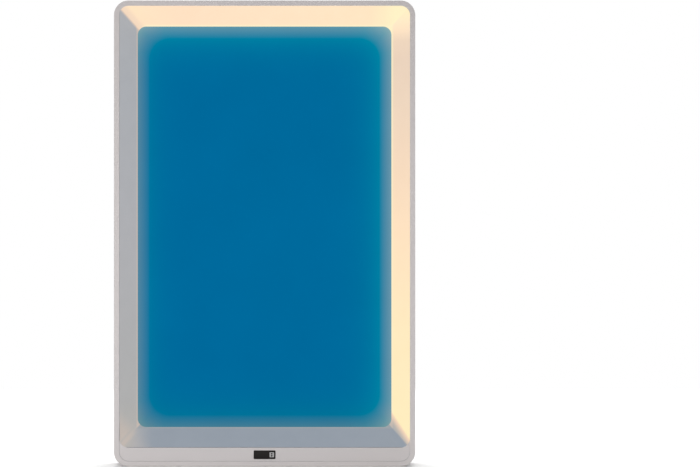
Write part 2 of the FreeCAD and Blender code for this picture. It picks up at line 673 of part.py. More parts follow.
chassis_plate = new_body("chassis_plate")
pad(chassis_plate, CHASSIS_BACK, "dims.chassis_sheet", inset(FRAME_INSIDE, "dims.slip_fit"),
    *[Circle(x, z, "dims.screw_radius") for x, z in CHASSIS_SCREWS],
    *[Circle(x, z, "dims.lead_hole") for x, z in LEAD_HOLES])
finish("chassis_screws", *[screw(x, z, CHASSIS_BACK, "dims.chassis_sheet + dims.ledge_sheet")
                           for x, z in CHASSIS_SCREWS])

DRIVER_BACK = f"({CHASSIS_BACK} - dims.driver_height)"
TAB_REACH = "(dims.driver_length / 2 + dims.driver_tab / 2)"
driver_screws = []
for name, side in (("led_driver_left", -1), ("led_driver_right", 1)):
    x = f"({side} * dims.driver_offset)"
    case = block(x, DRIVER_Z, "dims.driver_width", "dims.driver_length", DRIVER_BACK, "dims.driver_height")
    tabs = block(x, DRIVER_Z, "dims.driver_width / 2", "dims.driver_length + 2 * dims.driver_tab",
                 f"{CHASSIS_BACK} - dims.chassis_sheet", "dims.chassis_sheet")
    ends = [(x, f"({DRIVER_Z} + {end} * {TAB_REACH})") for end in SIDES]
    holes = [rod(hx, hz, f"{CHASSIS_BACK} - dims.chassis_sheet", "dims.screw_radius", "dims.chassis_sheet")
             for hx, hz in ends]
    finish(name, cut(join(case, tabs), *holes))
    driver_screws += [screw(hx, hz, f"{CHASSIS_BACK} - dims.chassis_sheet", "dims.chassis_sheet")
                      for hx, hz in ends]
finish("driver_screws", *driver_screws)

BOARD_Z = "(-dims.board_drop)"
BOARD_FRONT = f"({CHASSIS_BACK} - dims.standoff_height)"
CONTROL_BACK = f"({BOARD_FRONT} - dims.board_sheet)"
BOARD_HOLES = corners("(dims.board_width - 2 * dims.board_inset)", "(dims.board_height - 2 * dims.board_inset)",
                      BOARD_Z)
control_board = new_body("control_board")
pad(control_board, CONTROL_BACK, "dims.board_sheet",
    Outline("0", BOARD_Z, "dims.board_width", "dims.board_height", "dims.standoff_radius"),
    *[Circle(x, z, "dims.screw_radius") for x, z in BOARD_HOLES])
standoffs = []
for x, z in BOARD_HOLES:
    pillar = rod(x, z, BOARD_FRONT, "dims.standoff_radius", "dims.standoff_height")
    standoffs.append(cut(pillar, rod(x, z, BOARD_FRONT, "dims.screw_radius", "dims.screw_bite")))
finish("board_standoffs", *standoffs)
finish("board_screws", *[screw(x, z, CONTROL_BACK, "dims.board_sheet + dims.screw_bite") for x, z in BOARD_HOLES])
RADIO_Z = f"({BOARD_Z} - dims.board_height / 4)"
finish("radio_module", block("dims.board_width / 4", RADIO_Z, "dims.radio_width", "dims.radio_height",
                             f"{CONTROL_BACK} - dims.radio_depth", "dims.radio_depth"))

# ---------------------------------------------------------------------------------------------------------
# Terminal compartment: a moulded tray behind the back cover, with a hatch hinged along its top edge
# ---------------------------------------------------------------------------------------------------------
AXIS_Z = "dims.hatch_axis"
HATCH_BACK = f"({LAMP_BACK} + dims.hatch_recess)"
AXIS_DEPTH = f"({HATCH_BACK} + dims.hatch_barrel)"
BOX_TOP = f"({HATCH_TOP} + dims.hatch_gap)"
BOX_BOTTOM = f"({GROMMET_Z} - dims.grommet_radius - dims.grommet_lip - dims.box_margin)"
BOX_INSIDE = Outline("0", f"(({BOX_TOP} + {BOX_BOTTOM}) / 2)", HATCH_SPAN, f"({BOX_TOP} - {BOX_BOTTOM})")
BOX_FLOOR = f"({CHASSIS_BACK} - dims.box_wall)"
BLOCK_Z = f"({AXIS_Z} - dims.block_drop)"
LUG_X = "(dims.hatch_width / 2 + dims.hatch_gap + dims.lug_width / 2)"
terminal_box = new_body("terminal_box")
pad(terminal_box, COVER_INSIDE, f"{CHASSIS_BACK} - {COVER_INSIDE}", inset(BOX_INSIDE, "(-dims.box_wall)"))
pocket(terminal_box, COVER_INSIDE, f"{CHASSIS_BACK} - {COVER_INSIDE} - dims.box_wall", BOX_INSIDE)
LUG_SIDE = "(2 * dims.hatch_barrel)"
pad(terminal_box, HATCH_BACK, f"{LUG_SIDE} + dims.box_wall",
    *[Outline(f"({side} * {LUG_X})", f"({AXIS_Z})", "dims.lug_width", f"({LUG_SIDE})") for side in SIDES])
pin_bore = doc.addObject("PartDesign::SubtractiveCylinder", "pin_bore")
terminal_box.addObject(pin_bore)
pin_bore.Placement.Rotation = FreeCAD.Rotation(FreeCAD.Vector(0, 1, 0), 90)
pin_bore.setExpression("Radius", "dims.hatch_pin")
pin_bore.setExpression("Height", HATCH_SPAN)
place(pin_bore, x=f"-{HATCH_SPAN} / 2", y=f"-{AXIS_DEPTH}", z=AXIS_Z)
wire_way = doc.addObject("PartDesign::SubtractiveBox", "wire_way")
terminal_box.addObject(wire_way)
wire_way.setExpression("Length", f"{HATCH_SPAN} + 4 * dims.box_wall")
wire_way.setExpression("Width", "dims.block_depth")
wire_way.setExpression("Height", "2 * dims.lead_pitch")
place(wire_way, x=f"-{HATCH_SPAN} / 2 - 2 * dims.box_wall", y=f"-{BOX_FLOOR}", z=f"{BLOCK_Z} - dims.lead_pitch")
doc.recompute()

finish("hatch_pin", shaft("0", AXIS_Z, AXIS_DEPTH, "dims.hatch_pin", HATCH_SPAN))
leaf = block("0", f"({AXIS_Z} - dims.hatch_height / 2)", "dims.hatch_width", "dims.hatch_height",
             HATCH_BACK, "dims.hatch_sheet")
barrel = shaft("0", AXIS_Z, AXIS_DEPTH, "dims.hatch_barrel", "dims.hatch_width")
hatch_bore = shaft("0", AXIS_Z, AXIS_DEPTH, "dims.hatch_pin + dims.pin_play", "dims.hatch_width")
finish("terminal_hatch", cut(join(leaf, barrel), hatch_bore))

lip = rod("0", GROMMET_Z, f"{LAMP_BACK} - dims.grommet_lip_sheet", "dims.grommet_radius + dims.grommet_lip",
          "dims.grommet_lip_sheet")
sleeve = rod("0", GROMMET_Z, LAMP_BACK, "dims.grommet_radius", "dims.cover_sheet + dims.grommet_lip_sheet")
cable_hole = rod("0", GROMMET_Z, f"{LAMP_BACK} - dims.grommet_lip_sheet", "dims.cable_bore",
                 "dims.cover_sheet + 2 * dims.grommet_lip_sheet")
finish("cable_grommet", cut(join(lip, sleeve), cable_hole))

BLOCK_BACK = f"({BOX_FLOOR} - dims.block_depth)"
WIRE_X = [f"({step} * dims.wire_pitch)" for step in (-1, 0, 1)]
LEVER_AXIS_Z = f"({BLOCK_Z} + dims.block_height / 2 - dims.lever_barrel - dims.hatch_gap)"
LEVER_DEPTH = f"({BLOCK_BACK} - dims.lever_barrel - dims.slip_fit)"
CHEEK_REACH = f"({BLOCK_BACK} - {LEVER_DEPTH} + dims.lever_barrel)"
housing = block("0", BLOCK_Z, "dims.block_width", "dims.block_height", BLOCK_BACK, "dims.block_depth")
CHEEK = "(dims.wire_pitch - dims.lever_width - 2 * dims.slip_fit)"
cheeks = [block(f"({step} * dims.wire_pitch)", LEVER_AXIS_Z, CHEEK, "2 * dims.lever_barrel",
                f"{BLOCK_BACK} - {CHEEK_REACH}", CHEEK_REACH) for step in (-1.5, -0.5, 0.5, 1.5)]
SHAFT_LENGTH = f"(3 * dims.wire_pitch + {CHEEK})"
shaft_bore = shaft("0", LEVER_AXIS_Z, LEVER_DEPTH, "dims.lever_shaft", SHAFT_LENGTH)
finish("terminal_block", cut(join(housing, *cheeks), shaft_bore))
finish("lever_shaft", shaft("0", LEVER_AXIS_Z, LEVER_DEPTH, "dims.lever_shaft", SHAFT_LENGTH))
for wire, x in zip(("line", "earth", "neutral"), WIRE_X):
    tongue = block(x, f"({LEVER_AXIS_Z} - dims.lever_length / 2)", "dims.lever_width", "dims.lever_length",
                   f"{LEVER_DEPTH} - dims.lever_sheet / 2", "dims.lever_sheet")
    hub = shaft(x, LEVER_AXIS_Z, LEVER_DEPTH, "dims.lever_barrel", "dims.lever_width")
    hub_bore = shaft(x, LEVER_AXIS_Z, LEVER_DEPTH, "dims.lever_shaft + dims.pin_play", "dims.lever_width")
    finish(f"terminal_lever_{wire}", cut(join(tongue, hub), hub_bore))

# The saddle clamps the supply cable between the grommet and the terminals.
CLAMP_Z = f"({AXIS_Z} - dims.clamp_drop)"
CLAMP_BACK = f"({BOX_FLOOR} - dims.clamp_gap - dims.clamp_sheet)"
CLAMP_SCREWS = [(f"({side} * (dims.clamp_width / 2 - dims.clamp_height / 2))", CLAMP_Z) for side in SIDES]
bridge = block("0", CLAMP_Z, "dims.clamp_width", "dims.clamp_height", CLAMP_BACK, "dims.clamp_sheet")
feet = [block(x, z, "dims.clamp_height", "dims.clamp_height", f"{BOX_FLOOR} - dims.clamp_gap", "dims.clamp_gap")
        for x, z in CLAMP_SCREWS]
clamp_holes = [rod(x, z, CLAMP_BACK, "dims.screw_radius", "dims.clamp_sheet + dims.clamp_gap")
               for x, z in CLAMP_SCREWS]
finish("cable_clamp", cut(join(bridge, *feet), *clamp_holes))
finish("clamp_screws", *[screw(x, z, CLAMP_BACK, "dims.clamp_sheet + dims.clamp_gap") for x, z in CLAMP_SCREWS])
earth_bolt = rod("dims.earth_offset", CLAMP_Z, f"{BOX_FLOOR} - dims.clamp_gap", "dims.earth_radius",
                 "dims.clamp_gap")
earth_nut = rod("dims.earth_offset", CLAMP_Z, f"{BOX_FLOOR} - dims.clamp_sheet", "2 * dims.earth_radius",
                "dims.clamp_sheet")
finish("earth_stud", join(earth_bolt, earth_nut))


# ---------------------------------------------------------------------------------------------------------
# Leads: round wires along straight runs joined by tangent arcs
# ---------------------------------------------------------------------------------------------------------
def lead(points):
    """One wire through points given as (x, depth, z) expressions, with every inner corner rounded."""
    places = [FreeCAD.Vector(value(x), -value(depth), value(z)) for x, depth, z in points]
    edges = []
    start = places[0]
    for before, corner, after in zip(places, places[1:], places[2:]):
        back, ahead = before - corner, after - corner
        run = min(back.Length, ahead.Length)
        turn = math.pi - back.getAngle(ahead)
        radius = min(0.45 * run / math.tan(turn / 2), value("dims.lead_bend"))
        reach = radius * math.tan(turn / 2)
        back.normalize()
        ahead.normalize()
        bisector = (back + ahead).normalize()
        middle = corner + bisector * (radius / math.cos(turn / 2) - radius)
        entry, leave = corner + back * reach, corner + ahead * reach
        edges.append(Part.LineSegment(start, entry).toShape())
        edges.append(Part.Arc(entry, middle, leave).toShape())
        start = leave
    edges.append(Part.LineSegment(start, places[-1]).toShape())
    path = Part.Wire(edges)
    across = places[1] - places[0]
    section = Part.Wire([Part.Circle(places[0], across, value("dims.lead_radius")).toShape()])
    return path.makePipeShell([section], True, False)


def leads(label, *routes):
    """A group of wires as one sub-part."""
    feature = doc.addObject("Part::Feature", label)
    feature.Label = label
    feature.Shape = Part.makeCompound([lead(route) for route in routes])
    feature.Placement = FreeCAD.Placement()
    return keep(feature)


def part_way(start, end, share):
    """The place at a share of the way from one place to another, as an expression."""
    return f"({start} + {share} * ({end} - {start}))"


MAINS_DEPTH = f"({BOX_FLOOR} - dims.block_depth / 2)"
WIRE_DEPTH = f"({CHASSIS_BACK} - dims.lead_radius - dims.lead_clearance)"
CONTROL_DEPTH = f"({CONTROL_BACK} + dims.board_sheet / 2)"
DRIVER_TOP = f"({DRIVER_Z} + dims.driver_length / 2)"

mains_routes, control_routes, led_routes = [], [], []
for side in SIDES:
    driver_x = f"{side} * dims.driver_offset"
    inner_face = f"({driver_x} - {side} * dims.driver_width / 2)"
    outer_face = f"({driver_x} + {side} * dims.driver_width / 2)"

    # Two mains wires leave the terminal block sideways and drop onto the driver's top end.
    for pole in SIDES:
        wire_x = f"({driver_x} + {side} * {pole} * dims.lead_pitch)"
        wire_z = f"({BLOCK_Z} + {pole} * dims.lead_pitch / 2)"
        mains_routes.append([(f"{side} * dims.block_width / 2", MAINS_DEPTH, wire_z),
                             (wire_x, MAINS_DEPTH, wire_z), (wire_x, MAINS_DEPTH, DRIVER_TOP)])

    # Two dimming wires step down from the driver's inner side to the edge of the control board.
    for pole in SIDES:
        board_z = f"({BOARD_Z} + {pole} * dims.lead_pitch / 2)"
        driver_z = f"({board_z} + 3 * dims.lead_pitch)"
        board_x = f"({side} * dims.board_width / 2)"
        control_routes.append([(inner_face, CONTROL_DEPTH, driver_z),
                               (part_way(inner_face, board_x, 0.4), CONTROL_DEPTH, driver_z),
                               (part_way(inner_face, board_x, 0.6), CONTROL_DEPTH, board_z),
                               (board_x, CONTROL_DEPTH, board_z)])

    # Each driver feeds the wall board and the sky board beside it through holes in the chassis.
    for target_x, target_z in ((f"{side} * {SIDE_CHANNEL}", DRIVER_Z), (f"{side} * {SKY_BOARD_X}", SKY_LEAD_Z)):
        led_routes.append([(outer_face, WIRE_DEPTH, target_z), (target_x, WIRE_DEPTH, target_z),
                           (target_x, CHASSIS_FRONT, target_z)])

    # The third wire runs along the lamp to the board at its end.
    start_x = f"({driver_x} + {side} * 2 * dims.lead_pitch)"
    start_z = f"({DRIVER_Z} + {side} * dims.driver_length / 2)"
    end_z = f"({REVEAL_Z} + {side} * {END_CHANNEL})"
    led_routes.append([(start_x, WIRE_DEPTH, start_z), (start_x, WIRE_DEPTH, part_way(start_z, end_z, 0.5)),
                       (driver_x, WIRE_DEPTH, part_way(start_z, end_z, 0.7)),
                       (driver_x, WIRE_DEPTH, end_z), (driver_x, CHASSIS_FRONT, end_z)])
leads("mains_leads", *mains_routes)
leads("control_leads", *control_routes)
leads("led_leads", *led_routes)
BOARD_EDGE_Z = f"({BOARD_Z} - dims.board_height / 2)"
leads("sensor_lead", [(SENSOR_X, CONTROL_DEPTH, BOARD_EDGE_Z), (SENSOR_X, CONTROL_DEPTH, WINDOW_Z),
                      (SENSOR_X, BOARD_BACK, WINDOW_Z)])

doc.recompute()

# ---------------------------------------------------------------------------------------------------------
# Check every object, then write every sub-part
# ---------------------------------------------------------------------------------------------------------
for thing in doc.Objects:
    if "Invalid" in thing.State or "Error" in thing.State:
        raise RuntimeError(f"{thing.Label} failed: {thing.State}")
os.makedirs("parts", exist_ok=True)
for node in nodes:
    if node.Shape.isNull() or not node.Shape.isValid():
        raise RuntimeError(f"{node.Label} has no valid shape")
    node.Shape.exportStep(f"parts/{node.Label}.step")
print(len(nodes), "sub-parts written")
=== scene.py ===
import math

import bmesh
import bpy
import numpy as np
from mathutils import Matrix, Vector
from mathutils.geometry import tessellate_polygon


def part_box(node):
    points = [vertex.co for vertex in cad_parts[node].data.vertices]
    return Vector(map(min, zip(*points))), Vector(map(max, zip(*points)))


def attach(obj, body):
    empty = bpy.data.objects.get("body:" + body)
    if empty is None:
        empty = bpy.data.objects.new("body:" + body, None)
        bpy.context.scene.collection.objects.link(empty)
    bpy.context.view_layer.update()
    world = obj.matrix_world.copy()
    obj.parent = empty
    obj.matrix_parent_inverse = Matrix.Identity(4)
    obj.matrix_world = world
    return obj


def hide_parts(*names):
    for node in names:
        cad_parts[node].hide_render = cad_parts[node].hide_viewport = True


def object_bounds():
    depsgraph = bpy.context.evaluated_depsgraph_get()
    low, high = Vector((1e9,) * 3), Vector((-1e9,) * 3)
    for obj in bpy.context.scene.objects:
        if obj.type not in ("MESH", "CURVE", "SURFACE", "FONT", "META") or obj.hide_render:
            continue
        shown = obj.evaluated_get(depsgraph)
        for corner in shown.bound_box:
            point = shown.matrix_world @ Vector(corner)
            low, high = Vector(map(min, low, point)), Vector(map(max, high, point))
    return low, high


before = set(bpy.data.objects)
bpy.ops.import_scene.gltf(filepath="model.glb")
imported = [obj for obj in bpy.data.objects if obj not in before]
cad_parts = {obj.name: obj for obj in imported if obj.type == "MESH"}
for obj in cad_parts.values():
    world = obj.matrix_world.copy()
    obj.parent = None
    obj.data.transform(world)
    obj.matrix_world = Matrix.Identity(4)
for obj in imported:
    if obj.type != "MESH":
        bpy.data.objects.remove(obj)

cad_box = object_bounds()
scene = bpy.context.scene
scene.view_settings.view_transform = "Standard"

# ---------------------------------------------------------------------------------------------------------
# Camera: square on to the lamp's face at the height of its middle, with the picture's centre to its right.
# ---------------------------------------------------------------------------------------------------------
front_face = -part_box("outer_frame")[0].y
middle_height = (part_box("outer_frame")[0].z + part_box("outer_frame")[1].z) / 2

camera_data = bpy.data.cameras.new("camera")
camera_data.lens = 120
camera_data.shift_x = 0.122
camera_distance = 4.6457
camera = bpy.data.objects.new("camera", camera_data)
camera.location = (0, -front_face - camera_distance, middle_height)
camera.rotation_euler = (math.pi / 2, 0, 0)
scene.collection.objects.link(camera)
scene.camera = camera


# ---------------------------------------------------------------------------------------------------------
# Wall plate: a tray pressed from 1.5 mm steel with its rim turned towards the lamp, coated satin grey.
# Four wall screws hold it, and a window leaves room for the supply cable and the hatch behind the lamp.
# Sizes here and below are in millimetres; a depth is a distance from the wall towards the room.
# ---------------------------------------------------------------------------------------------------------
def rounded(x, z, width, height, radius, steps=8):
    """A rounded rectangle as its points and its outward unit normals, both complex: X is real, Z imaginary.
    Each corner is its centre plus the radius times the normal, whose angle runs evenly through one turn."""
    angle = np.linspace(0, np.pi / 2, steps + 1)[None, :] + np.arange(4)[:, None] * np.pi / 2
    normal = np.exp(1j * angle)
    across, up = width / 2 - radius, height / 2 - radius
    centre = x + 1j * z + np.array([1, -1, -1, 1]) * across + 1j * np.array([1, 1, -1, -1]) * up
    return (centre[:, None] + radius * normal).ravel(), normal.ravel()


def circle(x, z, radius, steps=24):
    """A circle as its points and its outward unit normals, which are the points' directions."""
    normal = np.exp(2j * np.pi * np.arange(steps) / steps)
    return x + 1j * z + radius * normal, normal


def ring(outline, inwards, depth):
    """One closed loop: the outline moved against its normals by a distance, at a depth."""
    points = outline[0] - inwards * outline[1]
    return np.stack([points.real, np.full(len(points), -float(depth)), points.imag], axis=-1)


def soften(profile, radius, hold=0.15, steps=4):
    """Rounds a profile's inner corners, given as complex (inwards, depth) points. Each corner becomes a
    quadratic curve that starts and ends a radius away from it, held by one more point on either side."""
    profile = np.asarray(profile, complex)
    radius = np.broadcast_to(np.asarray(radius, float), len(profile) - 2)
    corner = profile[1:-1]
    back, ahead = profile[:-2] - corner, profile[2:] - corner
    back, ahead = back / abs(back), ahead / abs(ahead)
    s = np.linspace(0, 1, steps + 1)
    start, end = (corner + radius * back)[:, None], (corner + radius * ahead)[:, None]
    curve = (1 - s) ** 2 * start + 2 * s * (1 - s) * corner[:, None] + s ** 2 * end
    held = np.concatenate([start + hold * back[:, None], curve, end + hold * ahead[:, None]], axis=1)
    return np.concatenate([profile[:1], held.ravel(), profile[-1:]])


def between(rings):
    """The surface through a stack of closed rings: four-sided faces between each ring and the next."""
    rings = np.asarray(rings)
    index = np.arange(rings.shape[0] * rings.shape[1]).reshape(rings.shape[:2])
    low, high = index[:-1], index[1:]
    faces = np.stack([low, np.roll(low, -1, 1), np.roll(high, -1, 1), high], axis=-1)
    return rings.reshape(-1, 3), faces.reshape(-1, 4).tolist()


def carried(profile, outline):
    """A profile carried round an outline: each of its points gives one ring."""
    return between([ring(outline, point.real, point.imag) for point in profile])


def flat(*loops):
    """The flat face inside the first loop and outside the others."""
    sides = [[Vector((x, z, 0)) for x, _, z in loop] for loop in loops]
    return np.concatenate(loops), [list(face) for face in tessellate_polygon(sides)]


def pressed(outline, openings, back, front, edge):
    """A sheet between two depths with openings. The outline and each opening have a wall whose two corners
    are rounded; the flats end where those walls begin."""
    flats, walls = ([], []), []
    for shape, way in [(outline, 1)] + [(opening, -1) for opening in openings]:
        run = way * (edge + 0.1)
        wall = [run + 1j * back, 1j * back, 1j * front, run + 1j * front]
        walls.append(carried(soften(wall, edge, 0.1), shape))
        for loops, depth in zip(flats, (back, front)):
            loops.append(ring(shape, run, depth))
    return walls + [flat(*loops) for loops in flats]


def make(name, surfaces, body, slot, *stands_for):
    """One piece in metres from its surfaces in millimetres: coinciding points are merged, faces turned
    outwards, and the shading is smooth up to 40 degrees."""
    starts = np.cumsum([0] + [len(points) for points, _ in surfaces])
    points = np.concatenate([points for points, _ in surfaces]) * 0.001
    faces = [[corner + int(start) for corner in face]
             for (_, part), start in zip(surfaces, starts) for face in part]
    mesh = bpy.data.meshes.new(name)
    mesh.from_pydata(points.tolist(), [], faces)
    work = bmesh.new()
    work.from_mesh(mesh)
    bmesh.ops.remove_doubles(work, verts=work.verts, dist=2e-6)
    bmesh.ops.recalc_face_normals(work, faces=work.faces)
    work.to_mesh(mesh)
    work.free()
    mesh.polygons.foreach_set("use_smooth", np.ones(len(mesh.polygons), bool))
    mesh.set_sharp_from_angle(angle=math.radians(40))
    piece = bpy.data.objects.new(name, mesh)
    scene.collection.objects.link(piece)
    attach(piece, body)
    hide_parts(*stands_for)
    return piece


class Wire:
    """A value on its way through a material. + - * / with a number or another wire add a Math node."""

    def __init__(self, tree, socket=None):
        self.tree, self.socket = tree, socket

    def node(self, kind, settings=None, inputs=None, output=0):
        """Adds a node: first its settings (a ramp's stops are (place, colour) pairs), then each input, by
        name or number, from a number, a colour or a wire. Gives the wire from one of its outputs."""
        made = self.tree.nodes.new(kind)
        for key, setting in (settings or {}).items():
            if key == "stops":
                ramp = made.color_ramp
                while len(ramp.elements) < len(setting):
                    ramp.elements.new(1.0)
                for stop, (place, colour) in zip(ramp.elements, setting):
                    stop.position = place
                    stop.color = colour
            else:
                setattr(made, key, setting)
        for key, given in (inputs or {}).items():
            if isinstance(given, Wire):
                self.tree.links.new(given.socket, made.inputs[key])
            else:
                made.inputs[key].default_value = given
        return Wire(self.tree, made.outputs[output])

    def math(self, operation, *values, clamp=False):
        """A Math node on the given values, this wire first."""
        settings = {"operation": operation, "use_clamp": clamp}
        return self.node("ShaderNodeMath", settings, dict(enumerate((self,) + values)))

    def step(self, low, high):
        """0 below one value of this wire and 1 above another, smooth between them."""
        settings = {"interpolation_type": "SMOOTHSTEP"}
        return self.node("ShaderNodeMapRange", settings, {0: self, 1: low, 2: high, 3: 0.0, 4: 1.0})

    def mix(self, first, second):
        """The first colour where this wire is 0 and the second where it is 1."""
        return self.node("ShaderNodeMix", {"data_type": "RGBA"}, {0: self, 6: first, 7: second}, 2)

    def __add__(self, other):
        return self.math("ADD", other)

    def __sub__(self, other):
        return self.math("SUBTRACT", other)

    def __rsub__(self, other):
        return (self * -1.0) + other

    def __mul__(self, other):
        return self.math("MULTIPLY", other)

    def __truediv__(self, other):
        return self.math("DIVIDE", other)

    __radd__ = __add__
    __rmul__ = __mul__


def srgb(red, green, blue):
    """A display colour of 0 to 255 a channel as the linear colour that shaders take."""
    level = np.array([red, green, blue]) / 255
    linear = np.where(level <= 0.04045, level / 12.92, ((level + 0.055) / 1.055) ** 2.4)
    return (*[float(channel) for channel in linear], 1.0)


def shade(colour, factor):
    """A linear colour made darker or lighter."""
    return (*[channel * factor for channel in colour[:3]], 1.0)


def begin(name, **constants):
    """A new material and its shader, with the constants set on the shader's own sockets. Gives them and a
    wire with the place on the piece, in metres."""
    material = bpy.data.materials.new(name)
    material.use_nodes = True
    shader = material.node_tree.nodes["Principled BSDF"]
    for socket, constant in constants.items():
        shader.inputs[socket.replace("_", " ")].default_value = constant
    place = Wire(material.node_tree).node("ShaderNodeTexCoord", output=3)
    return material, shader, place


def feed(shader, place, **wires):
    """Leads wires into the shader's sockets."""
    for socket, wire in wires.items():
        place.tree.links.new(wire.socket, shader.inputs[socket.replace("_", " ")])


def grained(name, colour, roughness, grain, relief, spread=0.05, stretch=(1, 1, 1), cloud=60, **constants):
    """A finish with grain: fine noise of the grain's size in millimetres raises a relief in millimetres and
    shifts the roughness, and broad noise shifts the colour by a spread. A stretch draws the grain out."""
    material, shader, place = begin(name, **constants)
    laid = place.node("ShaderNodeMapping", None, {"Vector": place, "Scale": stretch})
    fine = laid.node("ShaderNodeTexNoise", None, {"Vector": laid, "Scale": 1000 / grain, "Detail": 3.0})
    broad = place.node("ShaderNodeTexNoise", None, {"Vector": laid, "Scale": 1000 / cloud, "Detail": 2.0})
    tone = (broad * 0.65 + fine * 0.35).step(0.3, 0.7)
    raised = {"Strength": 0.6, "Distance": relief / 1000, "Height": fine}
    feed(shader, place,
         Base_Color=tone.mix(shade(colour, 1 - spread), shade(colour, 1 + spread)),
         Roughness=(fine - 0.5) * 0.25 + (broad - 0.5) * 0.12 + roughness,
         Normal=fine.node("ShaderNodeBump", None, raised))
    return material


plate_coat = grained("plate_coat", srgb(139, 140, 134), 0.5, 0.7, 0.02, 0.04, Specular_IOR_Level=0.4)

tray = rounded(0, 0, 300, 543, 8)
plate_window = rounded(0, 102.5, 149, 151, 8)
wall_bolts = [circle(sx * 100, sz * 200, 3.25) for sx in (-1, 1) for sz in (-1, 1)]
STUDS = [(sx * 125, sz * 235) for sx in (-1, 1) for sz in (-1, 1)]
stud_holes = [circle(x, z, 2.5) for x, z in STUDS]
plate_holes = [plate_window, *wall_bolts, *stud_holes, circle(0, -4.2, 2)]

rim = soften([2.4 + 0j, 0j, 4.7j, 1.5 + 4.7j, 1.5 + 1.5j, 2.4 + 1.5j], [0.6, 0.3, 0.3, 0.3], 0.1)
plate_surfaces = [carried(rim, tray)]
for hole in plate_holes:
    plate_surfaces.append(carried(soften([-0.35 + 0j, 0j, 1.5j, -0.35 + 1.5j], 0.2, 0.1), hole))
for depth in (0, 1.5):
    plate_surfaces.append(flat(ring(tray, 2.4, depth), *[ring(hole, -0.35, depth) for hole in plate_holes]))
wall_plate = make("wall_tray", plate_surfaces, "wall_bracket", "bracket_steel", "wall_plate")
wall_plate.data.materials.append(plate_coat)


# ---------------------------------------------------------------------------------------------------------
# Hanging studs and locating pin: turned steel, zinc-plated. The studs are riveted into the tray, and their
# heads hold the lamp's back; the pin sits in a hole in the wall behind the middle of the tray.
# ---------------------------------------------------------------------------------------------------------
def turned(x, z, profile, steps=24):
    """A turned piece square to the wall: each (radius, depth) of the profile is a circle round the axis."""
    spin = np.exp(2j * np.pi * np.arange(steps) / steps)
    rings = [np.stack([x + (radius * spin).real, np.full(steps, -float(depth)), z + (radius * spin).imag], -1)
             for radius, depth in profile]
    return between(rings)


def rounded_turning(profile, radius, hold=0.08):
    """A turning's (radius, depth) profile with its inner corners rounded."""
    smooth = soften([r + 1j * depth for r, depth in profile], radius, hold)
    return [(point.real, point.imag) for point in smooth]


zinc = grained("zinc_plate", (0.60, 0.60, 0.62, 1.0), 0.32, 0.5, 0.006, 0.06, Metallic=1.0)

stud_profile = rounded_turning([(0, 0), (2.5, 0), (2.5, 1.5), (4.5, 1.5), (4.5, 4.7), (3, 4.7), (3, 6.5),
                                (6, 6.5), (6, 8.5), (0, 8.5)], [0.1, 0.05, 0.2, 0.2, 0.1, 0.2, 0.25, 0.5])
studs = make("turned_studs", [turned(x, z, stud_profile) for x, z in STUDS],
             "wall_bracket", "zinc_steel", "hanging_studs")
studs.data.materials.append(zinc)

pin_profile = rounded_turning([(0, -6), (2, -6), (2, -1.5), (3.5, 0), (2, 0), (2, 1.5), (0, 1.5)],
                              [0.6, 0.2, 0.05, 0.05, 0.2])
pin = make("turned_pin", [turned(0, -4.2, pin_profile)], "wall_bracket", "zinc_steel", "centre_pin")
pin.data.materials.append(zinc)

# ---------------------------------------------------------------------------------------------------------
# Outer frame: the painted casing, one bent profile carried round a rounded rectangle: side wall, front rim
# with a small fillet, and an inner ledge for the chassis. Fine-textured powder coat in a warm light grey.
# ---------------------------------------------------------------------------------------------------------
LAMP_Z = -5.6
LAMP = rounded(0, LAMP_Z, 600, 928, 29, 16)
paint = grained("powder_coat", (0.513, 0.480, 0.476, 1.0), 0.55, 0.9, 0.03, 0.012, cloud=150,
                Specular_IOR_Level=0.35)

casing_profile = [0 + 40j, 0 + 88j, 10.4 + 88j, 10.4 + 86j, 2.5 + 86j, 2.5 + 31j, 8.5 + 31j, 8.5 + 29j,
                  2.5 + 29j, 2.5 + 5j, 0 + 5j, 0 + 40j]
casing = soften(casing_profile, [0.9, 0.35, 0.2, 0.3, 0.3, 0.2, 0.2, 0.3, 0.25, 0.25], 0.25)
outer_frame = make("casing_frame", [carried(casing, LAMP)], "lamp", "frame_paint", "outer_frame")
outer_frame.data.materials.append(paint)

# ---------------------------------------------------------------------------------------------------------
# Chin panel: the flat strip below the recess, cut out of the same sheet and painted like the frame. A half
# millimetre groove parts it from the rim, and a window is cut in its middle for the sensor.
# ---------------------------------------------------------------------------------------------------------
WINDOW_Z = -446.2
REVEAL_Z = 7.9


def chin_outline(steps=10):
    """The strip's outline: down the right side, round the lower corners, up the left side, then back along
    the recess's lower edge. Corners are quarter circles; the two tips have mitred normals."""
    tip = -math.acos(18.5 / 19)
    right = np.linspace(0, -np.pi / 2, steps + 1)
    lower_right = 271 - 440.6j + 18.1 * np.exp(1j * right), np.exp(1j * right)
    lower_left = -lower_right[0].conj()[::-1], -lower_right[1].conj()[::-1]
    inner = np.linspace(-np.pi / 2, tip, steps + 1)
    inner_right = 270.6 - 413.2j + 19 * np.exp(1j * inner), -np.exp(1j * inner)
    inner_right[1][-1] = (1 + inner_right[1][-1]) / (1 + inner_right[1][-1].real)
    inner_left = -inner_right[0].conj()[::-1], -inner_right[1].conj()[::-1]
    points, normals = zip(lower_right, lower_left, inner_left, inner_right)
    return np.concatenate(points), np.concatenate(normals)


sensor_hole = rounded(0, WINDOW_Z, 43.7, 17.5, 2.15)
chin = make("chin_strip", pressed(chin_outline(), [sensor_hole], 86, 88, 0.22), "lamp", "frame_paint",
            "chin_panel")
chin.data.materials.append(paint)

